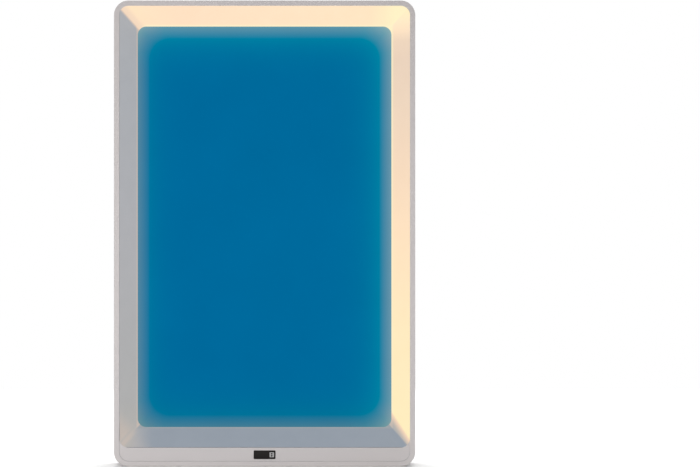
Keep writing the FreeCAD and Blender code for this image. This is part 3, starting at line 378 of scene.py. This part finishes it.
# ---------------------------------------------------------------------------------------------------------
# Recess: one moulded satin opal funnel with a flange at each end, lit from behind by its own boards. The
# top and right walls shine like low sun. The other two stay in bluish shade, which is painted into their
# emission, with a painted shadow line at their outer edge, a painted lighter line at the sky edge and
# painted warm light where they meet.
# ---------------------------------------------------------------------------------------------------------
REVEAL_WIDTH, REVEAL_HEIGHT = 579.2, 880.2
SKY_WIDTH, SKY_HEIGHT, SKY_RADIUS = 509.6, 804.8, 16.8
REVEAL = rounded(0, REVEAL_Z, REVEAL_WIDTH, REVEAL_HEIGHT, 19, 12)
SKY = rounded(0, REVEAL_Z, SKY_WIDTH, SKY_HEIGHT, SKY_RADIUS, 12)
FUNNEL_SHEET = 2.5


def slope(share, outwards=0.0):
    """The funnel's ring at a share of the way from the sky opening (depth 41) to the front (depth 86)."""
    points = SKY[0] + share * (REVEAL[0] - SKY[0]) + outwards * REVEAL[1]
    return np.stack([points.real, np.full(len(points), -(41 + 45 * share)), points.imag], axis=-1)


def recess_finish():
    """Emission from the wall's place: a and b are shares of the way from each outer edge to the sky edge
    across the side and end walls, and the mitre between two walls is where they are equal."""
    material, shader, place = begin("opal_recess", Specular_IOR_Level=0.2, Roughness=0.5)
    split = place.node("ShaderNodeSeparateXYZ", None, {0: place})
    x = split * 1000.0
    z = Wire(place.tree, split.socket.node.outputs[2]) * 1000.0 - REVEAL_Z
    half_width, half_height = REVEAL_WIDTH / 2, REVEAL_HEIGHT / 2
    side_run, end_run = half_width - SKY_WIDTH / 2, half_height - SKY_HEIGHT / 2
    left, right = (x + half_width) / side_run, (half_width - x) / side_run
    bottom, top = (z + half_height) / end_run, (half_height - z) / end_run
    side, end = left.math("MINIMUM", right), bottom.math("MINIMUM", top)
    inner = side.math("MINIMUM", end)

    def along(wire, low, high, stops):
        places = [((at - low) / (high - low), srgb(*colour)) for at, colour in stops]
        return wire.node("ShaderNodeValToRGB", {"stops": places}, {0: (wire - low) / (high - low)})

    top_wall = along(x, -290, 290, [(-290, (255, 231, 193)), (-240, (255, 227, 194)),
                                    (-170, (255, 224, 193)), (0, (255, 227, 195)), (210, (255, 229, 194)),
                                    (240, (254, 235, 195)), (262, (254, 241, 197)), (290, (255, 240, 197))])
    right_wall = along(z, -448, 442, [(-395, (255, 237, 190)), (-206, (255, 234, 191)),
                                      (-12, (255, 226, 192)), (153, (244, 217, 190)), (252, (238, 214, 190)),
                                      (332, (234, 210, 188)), (372, (238, 214, 190)), (392, (252, 226, 196)),
                                      (412, (255, 234, 199)), (428, (255, 238, 195))])
    # Painted shade: the left and bottom walls get no sun, and their bluish greys are the light falling on
    # them, painted into their emission.
    left_wall = along(z, -448, 442, [(-375, (176, 175, 173)), (-345, (174, 174, 174)), (0, (173, 174, 178)),
                                     (260, (169, 172, 177))])
    bottom_wall = along(x, -290, 290, [(-280, (177, 176, 172)), (-255, (165, 168, 173)),
                                       (-225, (147, 156, 167)), (290, (147, 156, 167))])
    lit = (end - side).step(-0.05, 0.05).mix(top_wall, right_wall)
    painted_shade_walls = (end - side).step(-0.05, 0.05).mix(bottom_wall, left_wall)
    # Painted light: a warm, lighter patch where the shaded left and bottom walls meet.
    painted_corner_light = (2.2 - left - bottom).step(0.0, 1.3) * (1.0 - (left - bottom).step(0.05, 0.35) * 0.72)
    painted_corner_light = painted_corner_light * ((bottom - left - 0.22).math("ABSOLUTE").step(0.0, 0.16) * 0.45 + 0.55)
    painted_shade_walls = painted_corner_light.mix(painted_shade_walls, srgb(192, 182, 175))
    # Painted shadow: a dark line along the shaded walls' outer edge, where the funnel meets the rim, darkest
    # on the bottom wall.
    painted_edge_shadow = bottom.step(0.6, 1.6).mix(srgb(134, 136, 140), srgb(157, 157, 159))
    painted_shade_walls = inner.step(0.012, 0.045).mix(painted_edge_shadow, painted_shade_walls)
    # Painted highlight: a lighter line along the shaded walls' inner edge beside the sky pane.
    painted_shade_walls = inner.step(0.90, 0.96).mix(painted_shade_walls, (end - side).step(-0.05, 0.05).mix(srgb(156, 163, 168),
                                                                            srgb(194, 183, 175)))
    lit = inner.step(0.85, 1.0).mix(lit, srgb(253, 240, 199))
    lit = (left.math("MINIMUM", 6.0) - top.math("MINIMUM", 3.0)).step(0.1, 0.65).mix(srgb(243, 216, 190), lit)
    upper_left = 1.0 - (top.math("MINIMUM", 3.0) - left.math("MINIMUM", 2.0)).step(-0.05, 0.25)
    lower_right = (bottom.math("MINIMUM", 2.0) - right.math("MINIMUM", 2.0) * 1.4 - 0.16).step(-0.45, 0.42)
    shown = upper_left.math("MAXIMUM", lower_right)
    lit = shown.step(0.75, 1.0).mix(srgb(255, 220, 187), lit)
    colour = shown.mix(painted_shade_walls, lit)
    cloud = place.node("ShaderNodeTexNoise", None, {"Vector": place, "Scale": 30.0, "Detail": 2.0})
    fine = place.node("ShaderNodeTexNoise", None, {"Vector": place, "Scale": 1100.0, "Detail": 2.0})
    room_share = (0.05, 0.055, 0.06)
    colour = place.node("ShaderNodeVectorMath", {"operation": "SUBTRACT"}, {0: colour, 1: room_share})
    feed(shader, place, Emission_Color=colour,
         Base_Color=cloud.step(0.3, 0.7).mix((0.055, 0.056, 0.058, 1), (0.065, 0.066, 0.068, 1)),
         Roughness=(fine - 0.5) * 0.2 + 0.5,
         Normal=fine.node("ShaderNodeBump", None, {"Strength": 0.4, "Distance": 0.00002, "Height": fine}))
    shader.inputs["Emission Strength"].default_value = 1.0
    return material


flange_edge = rounded(0, LAMP_Z, 594.4, 922.4, 26.2, 12)
sky_flange = rounded(0, REVEAL_Z, 546.2, 841.4, 35.1, 12)
lip_pocket = rounded(0, WINDOW_Z, 51.8, 25.6, 2, 3)
inside = [slope(1.0), slope(0.97), slope(0.5), slope(0.03), slope(0.012), slope(0.004, 0.12),
          slope(0.0, 0.5)]
outside = [ring(sky_flange, 0, 41), ring(sky_flange, 0, 43.5), slope(2.5 / 45, FUNNEL_SHEET),
           slope(0.5, FUNNEL_SHEET), slope(43 / 45, FUNNEL_SHEET)]
recess = make("opal_funnel",
              [between(inside + outside), between([ring(flange_edge, 0, 84), ring(flange_edge, 0, 86)]),
               between([ring(lip_pocket, 0, 84), ring(lip_pocket, 0, 86)]),
               flat(ring(flange_edge, 0, 84), slope(43 / 45, FUNNEL_SHEET), ring(lip_pocket, 0, 84)),
               flat(ring(flange_edge, 0, 86), slope(1.0), ring(lip_pocket, 0, 86))],
              "lamp", "reveal_opal", "reveal_diffuser")
recess.data.materials.append(recess_finish())


# ---------------------------------------------------------------------------------------------------------
# Sky panel: a matte blue diffusing pane behind the funnel, lit from its edges. Its light is deepest blue in
# the middle and greener towards the edges. The paler, warmer frame right beside them is painted light: the
# light of the funnel's walls falling on the pane, painted into its emission.
# ---------------------------------------------------------------------------------------------------------
def sky_finish():
    """Emission from the distances to the four edges of the opening: green and blue add one falling
    exponential for each edge, and red falls from the edge to zero at a smaller, rounder rectangle. The red
    is painted light, the funnel walls' light on the pane, strongest beside the right and top walls."""
    material, shader, place = begin("sky_pane", Specular_IOR_Level=0.0, Roughness=1.0)
    split = place.node("ShaderNodeSeparateXYZ", None, {0: place})
    x = split * 1000.0
    z = Wire(place.tree, split.socket.node.outputs[2]) * 1000.0 - REVEAL_Z
    half_width, half_height = SKY_WIDTH / 2, SKY_HEIGHT / 2
    away = {"left": x + half_width, "right": half_width - x,
            "bottom": z + half_height, "top": half_height - z}
    away = {edge: wire.math("MAXIMUM", 0.0) for edge, wire in away.items()}

    def beyond(inset, radius):
        """How far a point lies outside a rounded rectangle, negative inside it."""
        past_x = x.math("ABSOLUTE") - (half_width - inset - radius)
        past_z = z.math("ABSOLUTE") - (half_height - inset - radius)
        out_x, out_z = past_x.math("MAXIMUM", 0.0), past_z.math("MAXIMUM", 0.0)
        corner = (out_x * out_x + out_z * out_z).math("SQRT")
        return corner + past_x.math("MAXIMUM", past_z).math("MINIMUM", 0.0) - radius

    def fall(edge, length):
        return (away[edge] / -length).math("EXPONENT")

    fade = {edge: fall(edge, 22.0 if edge == "left" else 28.0) for edge in away}
    wide = {edge: fall(edge, 32.0) for edge in away}
    green = fade["top"] * 0.165 + fade["right"] * 0.165 + fade["left"] * 0.10 + fade["bottom"] * 0.065 + 0.144
    blue = (wide["top"] + wide["right"]) * 0.075 + wide["left"] * 0.02 - wide["bottom"] * 0.03 + 0.333
    near = {edge: fall(edge, 16.0) + 1e-6 for edge in away}
    total = near["top"] + near["right"] + near["left"] + near["bottom"]
    # Painted light: a warm, paler frame beside the pane's edges, for the funnel walls' light falling on it.
    painted_wall_light = (near["top"] * 0.114 + near["right"] * 0.142 + near["left"] * 0.083
            + near["bottom"] * 0.055) / total
    out = (beyond(0.0, SKY_RADIUS) * -1.0).math("MAXIMUM", 0.001)
    gap = beyond(24.0, 42.0).math("MAXIMUM", 0.0)
    corner_reach = 52.0
    corner = ((1.0 - away["left"].math("MINIMUM", away["right"]) / corner_reach).math("MAXIMUM", 0.0)
              * (1.0 - away["bottom"].math("MINIMUM", away["top"]) / corner_reach).math("MAXIMUM", 0.0))
    red = painted_wall_light * (corner * 1.15 + 1.0) * (gap / (gap + out))
    cloud = place.node("ShaderNodeTexNoise", None, {"Vector": place, "Scale": 9.0, "Detail": 2.0})
    even = cloud * 0.05 + 0.975
    colour = place.node("ShaderNodeCombineColor", None,
                        {0: red, 1: green * even - 0.034, 2: blue * even - 0.078})
    fine = place.node("ShaderNodeTexNoise", None, {"Vector": place, "Scale": 900.0, "Detail": 2.0})
    feed(shader, place, Emission_Color=colour,
         Base_Color=cloud.mix((0.0, 0.028, 0.068, 1), (0.0, 0.034, 0.078, 1)),
         Normal=fine.node("ShaderNodeBump", None, {"Strength": 0.3, "Distance": 0.00002, "Height": fine}))
    shader.inputs["Emission Strength"].default_value = 1.0
    return material


sky_edge = rounded(0, REVEAL_Z, 537.6, 832.8, 30.8, 8)
sky_pane = make("sky_pane", pressed(sky_edge, [], 37, 40, 0.4), "lamp", "sky_blue", "sky_panel")
sky_pane.data.materials.append(sky_finish())

# ---------------------------------------------------------------------------------------------------------
# Sensor window: a glossy smoked acrylic tile let into the chin, with a hidden lip that bears on the funnel's
# flange and an opening for the sensor tile at its right.
# ---------------------------------------------------------------------------------------------------------
window_gloss = grained("smoked_acrylic", (0.0075, 0.0055, 0.0045, 1.0), 0.12, 3.0, 0.002, 0.05,
                       Specular_IOR_Level=0.12)

TILE_X = 14.3
window_shape = rounded(0, WINDOW_Z, 43.4, 17.2, 2)
tile_shape = rounded(TILE_X, WINDOW_Z, 9, 9.8, 0.8, 5)
lip = soften([1.2 + 84.3j, -4 + 84.3j, -4 + 86j, 86j, 87.8j, 1.2 + 87.8j], [0.3, 0.3, 0.15, 0.35])
window_tile = make("smoked_window",
                   [carried(lip, window_shape),
                    carried(soften([-0.5 + 84.3j, 84.3j, 87.8j, -0.5 + 87.8j], 0.2), tile_shape),
                    flat(ring(window_shape, 1.2, 84.3), ring(tile_shape, -0.5, 84.3)),
                    flat(ring(window_shape, 1.2, 87.8), ring(tile_shape, -0.5, 87.8))],
                   "lamp", "window_black", "sensor_window")
window_tile.data.materials.append(window_gloss)

# ---------------------------------------------------------------------------------------------------------
# Sensor tile: a satin grey moulding that fills the window's opening, with two blackened bores for the light
# and the remote-control sensors, each closed at its bottom by a dark filter.
# ---------------------------------------------------------------------------------------------------------
BORES = [(TILE_X, WINDOW_Z - 2), (TILE_X, WINDOW_Z + 2)]
BORE_RADIUS = 1.25


def bored_finish():
    """Satin grey, and black in the bores and to about 0.4 mm past their edges."""
    material, shader, place = begin("satin_tile", Specular_IOR_Level=0.1)
    split = place.node("ShaderNodeSeparateXYZ", None, {0: place})
    x, z = split * 1000.0, Wire(place.tree, split.socket.node.outputs[2]) * 1000.0
    away = [((x - bx) * (x - bx) + (z - bz) * (z - bz)).math("SQRT") for bx, bz in BORES]
    fine = place.node("ShaderNodeTexNoise", None, {"Vector": place, "Scale": 1700.0, "Detail": 2.0})
    grey = fine.step(0.3, 0.7).mix(srgb(160, 158, 158), srgb(166, 164, 164))
    feed(shader, place,
         Base_Color=away[0].math("MINIMUM", away[1]).step(1.56, 1.7).mix((0.003, 0.003, 0.003, 1), grey),
         Roughness=(fine - 0.5) * 0.2 + 0.5,
         Normal=fine.node("ShaderNodeBump", None, {"Strength": 0.5, "Distance": 0.00001, "Height": fine}))
    return material


bores = [circle(x, z, BORE_RADIUS) for x, z in BORES]
tile_surfaces = [carried(soften([0.3 + 84.3j, 84.3j, 87.9j, 0.3 + 87.9j], 0.18, 0.1), tile_shape),
                 flat(ring(tile_shape, 0.3, 84.3)),
                 flat(ring(tile_shape, 0.3, 87.9), *[ring(bore, -0.25, 87.9) for bore in bores])]
for bore in bores:
    tile_surfaces.append(carried(soften([-0.25 + 87.9j, 87.9j, 84.9j, 0.3 + 84.9j], [0.1, 0.2], 0.08), bore))
    tile_surfaces.append(flat(ring(bore, 0.3, 84.9)))
tile = make("bored_tile", tile_surfaces, "lamp", "sensor_grey", "sensor_tile")
tile.data.materials.append(bored_finish())


# ---------------------------------------------------------------------------------------------------------
# Back cover: pressed 1.2 mm steel, coated light grey, between the casing's side walls. Four keyholes hang
# it on the studs; it has an opening for the hatch, a hole for the cable and two banks of seven vents.
# ---------------------------------------------------------------------------------------------------------
def keyhole(x, z, entry, slot, drop, steps=18):
    """A keyhole: the entry circle a drop below, then the slot and its half circle. The normals where the
    circle meets the slot are mitred, (n + side) / (1 + n . side)."""
    meet = math.acos(slot / entry)
    entry_normal = np.exp(1j * np.linspace(np.pi - meet, 2 * np.pi + meet, steps + 1))
    slot_normal = np.exp(1j * np.linspace(0, np.pi, 9))
    points = np.concatenate([entry * entry_normal - 1j * drop, slot * slot_normal])
    for end, side in ((0, -1), (-1, 1)):
        entry_normal[end] = (entry_normal[end] + side) / (1 + abs(entry_normal[end].real))
    return x + 1j * z + points, np.concatenate([entry_normal, slot_normal])


cover_coat = grained("cover_coat", srgb(182, 180, 179), 0.5, 0.8, 0.02, 0.02, Specular_IOR_Level=0.4)

POSTS = [(sx * 278, z) for sx in (-1, 1) for z in (-447.6, -5.6, 436.4)]
vents = [rounded(sx * 225, 388.4 + 12 * row, 60, 3, 1.35, 4) for sx in (-1, 1) for row in range(-3, 4)]
cover_holes = [rounded(0, 113.9, 113, 72.8, 0.6, 3), circle(0, 54, 7), *vents,
               *[keyhole(x, z, 6.6, 3.2, 12) for x, z in STUDS], *[circle(x, z, 1.5) for x, z in POSTS]]
cover = make("pressed_cover", pressed(rounded(0, LAMP_Z, 594.4, 922.4, 26.2, 12), cover_holes, 5, 6.2, 0.22),
             "lamp", "cover_steel", "back_cover")
cover.data.materials.append(cover_coat)


# ---------------------------------------------------------------------------------------------------------
# Cover screws: six zinc-plated pan heads with a cross recess, driven into the posts behind the cover.
# ---------------------------------------------------------------------------------------------------------
def cross(x, z, arm, reach):
    """A cross-shaped outline, arms of a half width and a reach, and its mitred normals: a quarter turn of
    three corners, which share the normal 1 + i, repeated four times."""
    quarter = np.array([reach + 1j * arm, arm + 1j * arm, arm + 1j * reach])
    turns = 1j ** np.arange(4)
    return x + 1j * z + (turns[:, None] * quarter).ravel(), np.repeat(turns * (1 + 1j), 3)


def screwed(x, z, seat, length):
    """A pan-head screw seen from the back: the recess, the head down to its seat, then turns of thread, whose
    radius swings between root and crest, and a point."""
    turns = int(length / 0.4) - 1
    thread = [(1.47 if turn % 2 else 1.15, seat + 0.2 + 0.4 * turn) for turn in range(turns)]
    head = rounded_turning([(1.9, seat - 1.6), (2.3, seat - 1.6), (2.8, seat - 0.6), (2.8, seat),
                            (1.47, seat)], [0.15, 0.35, 0.1])
    recess = cross(x, z, 0.32, 1.45)
    return [turned(x, z, head + thread + [(0.7, seat + length), (0, seat + length)]),
            flat(ring(circle(x, z, 1.9), 0, seat - 1.6), ring(recess, 0, seat - 1.6)),
            between([ring(recess, 0, seat - 1.6), ring(recess, 0.14, seat - 0.6)]),
            flat(ring(recess, 0.14, seat - 0.6))]


cover_screws = make("cross_head_screws", [part for x, z in POSTS for part in screwed(x, z, 5, 5.2)],
                    "lamp", "zinc_steel", "cover_screws")
cover_screws.data.materials.append(zinc)

# ---------------------------------------------------------------------------------------------------------
# Wall bumpers and lower strip: two moulded rubber buttons and a soft extrusion, both glued to the cover's
# lower edge, which keep the lamp square to the wall and off its paint.
# ---------------------------------------------------------------------------------------------------------
dark_rubber = grained("black_rubber", srgb(62, 62, 59), 0.75, 0.8, 0.03, 0.08, Specular_IOR_Level=0.25)
grey_moulding = grained("grey_moulding", srgb(160, 160, 158), 0.5, 0.5, 0.015, 0.03)

button = rounded_turning([(0, 1.3), (1.4, 1.3), (2.2, 0.8), (3.1, 0.8), (3.75, 3.6), (3.75, 5), (0, 5)],
                         [0.2, 0.3, 0.4, 0.4, 0.1])
bumpers = make("rubber_buttons", [turned(sx * 250, -450.6, button, 32) for sx in (-1, 1)],
               "lamp", "dark_rubber", "wall_bumpers")
bumpers.data.materials.append(dark_rubber)

strip = make("edge_extrusion", pressed(rounded(0, -464.3, 540, 5, 1.4, 4), [], 2.8, 5, 0.6),
             "lamp", "grey_plastic", "lower_edge_strip")
strip.data.materials.append(grey_moulding)

# ---------------------------------------------------------------------------------------------------------
# Cable grommet: a black rubber ring snapped into the cover's hole, its lip outside and its bore rounded.
# ---------------------------------------------------------------------------------------------------------
bush = rounded_turning([(4.5, 5.6), (4.5, 3.6), (9, 3.6), (9, 5), (7, 5), (7, 7.6), (4.5, 7.6), (4.5, 5.6)],
                       [0.7, 0.5, 0.1, 0.1, 0.5, 0.5])
grommet = make("rubber_bush", [turned(0, 54, bush, 40)], "lamp", "dark_rubber", "cable_grommet")
grommet.data.materials.append(dark_rubber)


# ---------------------------------------------------------------------------------------------------------
# Terminal hatch: a moulded grey flap that swings on a pin along its upper edge. Its five knuckles ride on
# the pin, and a thumb recess with three ribs is sunk in its outer face.
# ---------------------------------------------------------------------------------------------------------
def turned_across(centre, depth, z, profile, steps=24):
    """A piece turned about a line along X: each (radius, x) of the profile is a circle round the line."""
    spin = np.exp(2j * np.pi * np.arange(steps) / steps)
    rings = [np.stack([np.full(steps, centre + float(x)), (radius * spin).real - depth,
                       z + (radius * spin).imag], -1) for radius, x in profile]
    return between(rings)


thumb = rounded(0, 90, 36, 11, 2.5, 5)
leaf = rounded(0, 113, 104, 70, 2, 5)
sunk = soften([-0.4 + 5.2j, 5.2j, 0.5 + 6.2j, 1.4 + 6.2j], [0.25, 0.3])
hatch_surfaces = [carried(soften([1 + 5.2j, 5.2j, 7.2j, 1 + 7.2j], 0.4), leaf), carried(sunk, thumb),
                  flat(ring(leaf, 1, 5.2), ring(thumb, -0.4, 5.2)), flat(ring(leaf, 1, 7.2)),
                  flat(ring(thumb, 1.4, 6.2))]
for rib_z in (87.2, 90, 92.8):
    hatch_surfaces += pressed(rounded(0, rib_z, 27, 1.1, 0.5, 3), [], 5.5, 6.3, 0.25)
for middle in (-41.8, -20.9, 0, 20.9, 41.8):
    knuckle = rounded_turning([(0.9, 0), (0.9, -10), (1.8, -10), (1.8, 10), (0.9, 10), (0.9, 0)],
                              [0.15, 0.3, 0.3, 0.15])
    hatch_surfaces.append(turned_across(middle, 7, 148, knuckle))
hatch = make("ribbed_hatch", hatch_surfaces, "hatch", "grey_plastic", "terminal_hatch")
hatch.data.materials.append(grey_moulding)


# ---------------------------------------------------------------------------------------------------------
# Mains terminals: behind the hatch, a moulded box holds three lever terminals, a saddle clamp with its two
# screws and a brass earth stud. White and grey mouldings, orange levers on one steel shaft.
# ---------------------------------------------------------------------------------------------------------
def dress(material, edge, *names):
    """Gives CAD nodes their finish and, above zero, breaks their edges by a width in millimetres."""
    for name in names:
        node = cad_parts[name]
        node.data.materials.clear()
        node.data.materials.append(material)
        if edge:
            weld = node.modifiers.new("weld", "WELD")
            weld.merge_threshold = 1e-6
            broken = node.modifiers.new("broken_edges", "BEVEL")
            broken.width, broken.segments = edge * 0.001, 2
            broken.limit_method, broken.angle_limit = "ANGLE", math.radians(40)


terminal_grey = grained("terminal_grey", srgb(184, 184, 179), 0.45, 0.5, 0.012, 0.03)
lever_orange = grained("lever_orange", srgb(217, 96, 24), 0.3, 0.5, 0.008, 0.05)
white_moulding = grained("white_moulding", srgb(226, 226, 222), 0.45, 0.5, 0.012, 0.02)
brass = grained("turned_brass", (0.62, 0.42, 0.14, 1.0), 0.3, 0.6, 0.006, 0.06, Metallic=1.0)
dress(grey_moulding, 0.25, "terminal_box")
dress(terminal_grey, 0.25, "terminal_block")
dress(lever_orange, 0.2, "terminal_lever_line", "terminal_lever_neutral",
      "terminal_lever_earth")
dress(white_moulding, 0.3, "cable_clamp")
dress(brass, 0.25, "earth_stud", "board_standoffs")
dress(zinc, 0.1, "hatch_pin", "lever_shaft")

clamp_screws = make("clamp_screw_pair", [part for sx in (-1, 1) for part in screwed(sx * 13, 74, 14.5, 11)],
                    "lamp", "zinc_steel", "clamp_screws")
clamp_screws.data.materials.append(zinc)

# ---------------------------------------------------------------------------------------------------------
# Light engine: folded aluminium chassis with white reflector film, an edge-lit acrylic guide, an opal sheet
# and the boards whose lights feed the guide and the funnel. Foam tape seals the pane to the funnel.
# ---------------------------------------------------------------------------------------------------------
aluminium = grained("mill_aluminium", (0.62, 0.63, 0.64, 1.0), 0.35, 1.2, 0.004, 0.04, (1, 1, 0.04),
                    Metallic=1.0)
white_film = grained("reflector_film", srgb(240, 240, 240), 0.6, 2.5, 0.01, 0.01)
opal_sheet = grained("opal_sheet", srgb(229, 232, 234), 0.5, 1.5, 0.01, 0.01)
clear_sheet = grained("clear_acrylic", srgb(222, 240, 243), 0.08, 1.5, 0.01, 0.03,
                      Transmission_Weight=0.7, IOR=1.49)
white_foam = grained("foam_tape", srgb(224, 224, 221), 0.9, 1.2, 0.15, 0.05)
white_board = grained("white_board", srgb(232, 232, 226), 0.35, 2.0, 0.01, 0.02)
phosphor = grained("phosphor", srgb(244, 226, 140), 0.35, 0.4, 0.01, 0.05)
dress(aluminium, 0, "chassis_plate")
dress(white_film, 0, "reflector_sheet")
dress(opal_sheet, 0, "diffuser_sheet")
dress(clear_sheet, 0, "light_guide")
dress(white_foam, 0, "sky_gasket")
dress(white_moulding, 0, "panel_frame")
dress(white_board, 0, "sky_led_boards", "wall_led_board_left", "wall_led_board_right",
      "wall_led_board_top", "wall_led_board_bottom")
dress(phosphor, 0, "sky_leds", "wall_leds")

# ---------------------------------------------------------------------------------------------------------
# Electronics: two potted drivers, a control board on brass standoffs with a shielded radio, the sensor
# board and its rubber seal, all screwed to the chassis and wired with white sleeved leads.
# ---------------------------------------------------------------------------------------------------------
green_board = grained("green_board", srgb(26, 84, 52), 0.3, 2.5, 0.02, 0.25)
driver_case = grained("driver_case", srgb(222, 222, 217), 0.5, 0.6, 0.015, 0.02)
tin = grained("tinned_can", (0.66, 0.66, 0.67, 1.0), 0.38, 1.5, 0.006, 0.05, Metallic=1.0)
lead_sleeve = grained("lead_sleeve", srgb(214, 214, 209), 0.4, 1.0, 0.01, 0.04)
dress(green_board, 0, "control_board", "sensor_board")
dress(driver_case, 0.6, "led_driver_left", "led_driver_right")
dress(tin, 0.3, "radio_module")
dress(dark_rubber, 0, "sensor_seal")
dress(lead_sleeve, 0, "mains_leads", "control_leads", "led_leads", "sensor_lead")
dress(zinc, 0, "board_screws", "driver_screws", "chassis_screws", "cover_posts")

# ---------------------------------------------------------------------------------------------------------
# Studio: a pale floor under the lamp, an even grey room that the camera sees as white, and six soft boxes
# whose shares of the light on the rims, the chin and the floor were set one by one. Sizes are in metres.
# ---------------------------------------------------------------------------------------------------------
floor_mesh = bpy.data.meshes.new("studio_floor")
floor_z = cad_box[0].z - 0.0002
half_x, half_y = 3, 2.2
floor_corners = [(-half_x, -half_y, floor_z), (half_x, -half_y, floor_z),
                 (half_x, half_y, floor_z), (-half_x, half_y, floor_z)]
floor_mesh.from_pydata(floor_corners, [], [(0, 1, 2, 3)])
floor = bpy.data.objects.new("studio_floor", floor_mesh)
scene.collection.objects.link(floor)
floor_paint = grained("floor_paint", (0.9, 0.9, 0.9, 1.0), 0.8, 4.0, 0.05, 0.01, Specular_IOR_Level=0.1)
floor_mesh.materials.append(floor_paint)

world = bpy.data.worlds.new("studio")
world.use_nodes = True
scene.world = world
room = Wire(world.node_tree)
background = world.node_tree.nodes["Background"]
seen = room.node("ShaderNodeLightPath")
room_colour = seen.mix((0.51, 0.51, 0.51, 1.0), (1.0, 1.0, 1.0, 1.0))
world.node_tree.links.new(room_colour.socket, background.inputs["Color"])


def soft_box(name, place, aim, width, height, power):
    """A large soft light at a place, facing a point."""
    light = bpy.data.lights.new(name, "AREA")
    light.shape, light.size, light.size_y, light.energy = "RECTANGLE", width, height, power
    lamp = bpy.data.objects.new(name, light)
    lamp.location = place
    lamp.rotation_euler = (Vector(aim) - Vector(place)).to_track_quat("-Z", "Y").to_euler()
    lamp.visible_camera = False
    scene.collection.objects.link(lamp)


soft_box("overhead", (0, 0.2, 3.2), (0, 0.2, -0.4), 3.6, 3.6, 20)
soft_box("front", (-0.26, -1.4, -0.16), (0, -0.088, 0), 0.7, 0.7, 8.2)
soft_box("front_low", (-0.05, -0.26, -0.455), (-0.05, 0, -0.458), 0.66, 0.025, 0.042)
soft_box("rear_top", (0.2, 2.0, 3.0), (0.2, 1.2, -0.47), 3.0, 2.6, 105)
soft_box("left_side", (-2.6, 0.4, 0.5), (0, 0.1, 0), 1.5, 1.5, 17)
soft_box("right_side", (2.6, 0.4, 0.5), (0, 0.1, 0), 1.5, 1.5, 13)
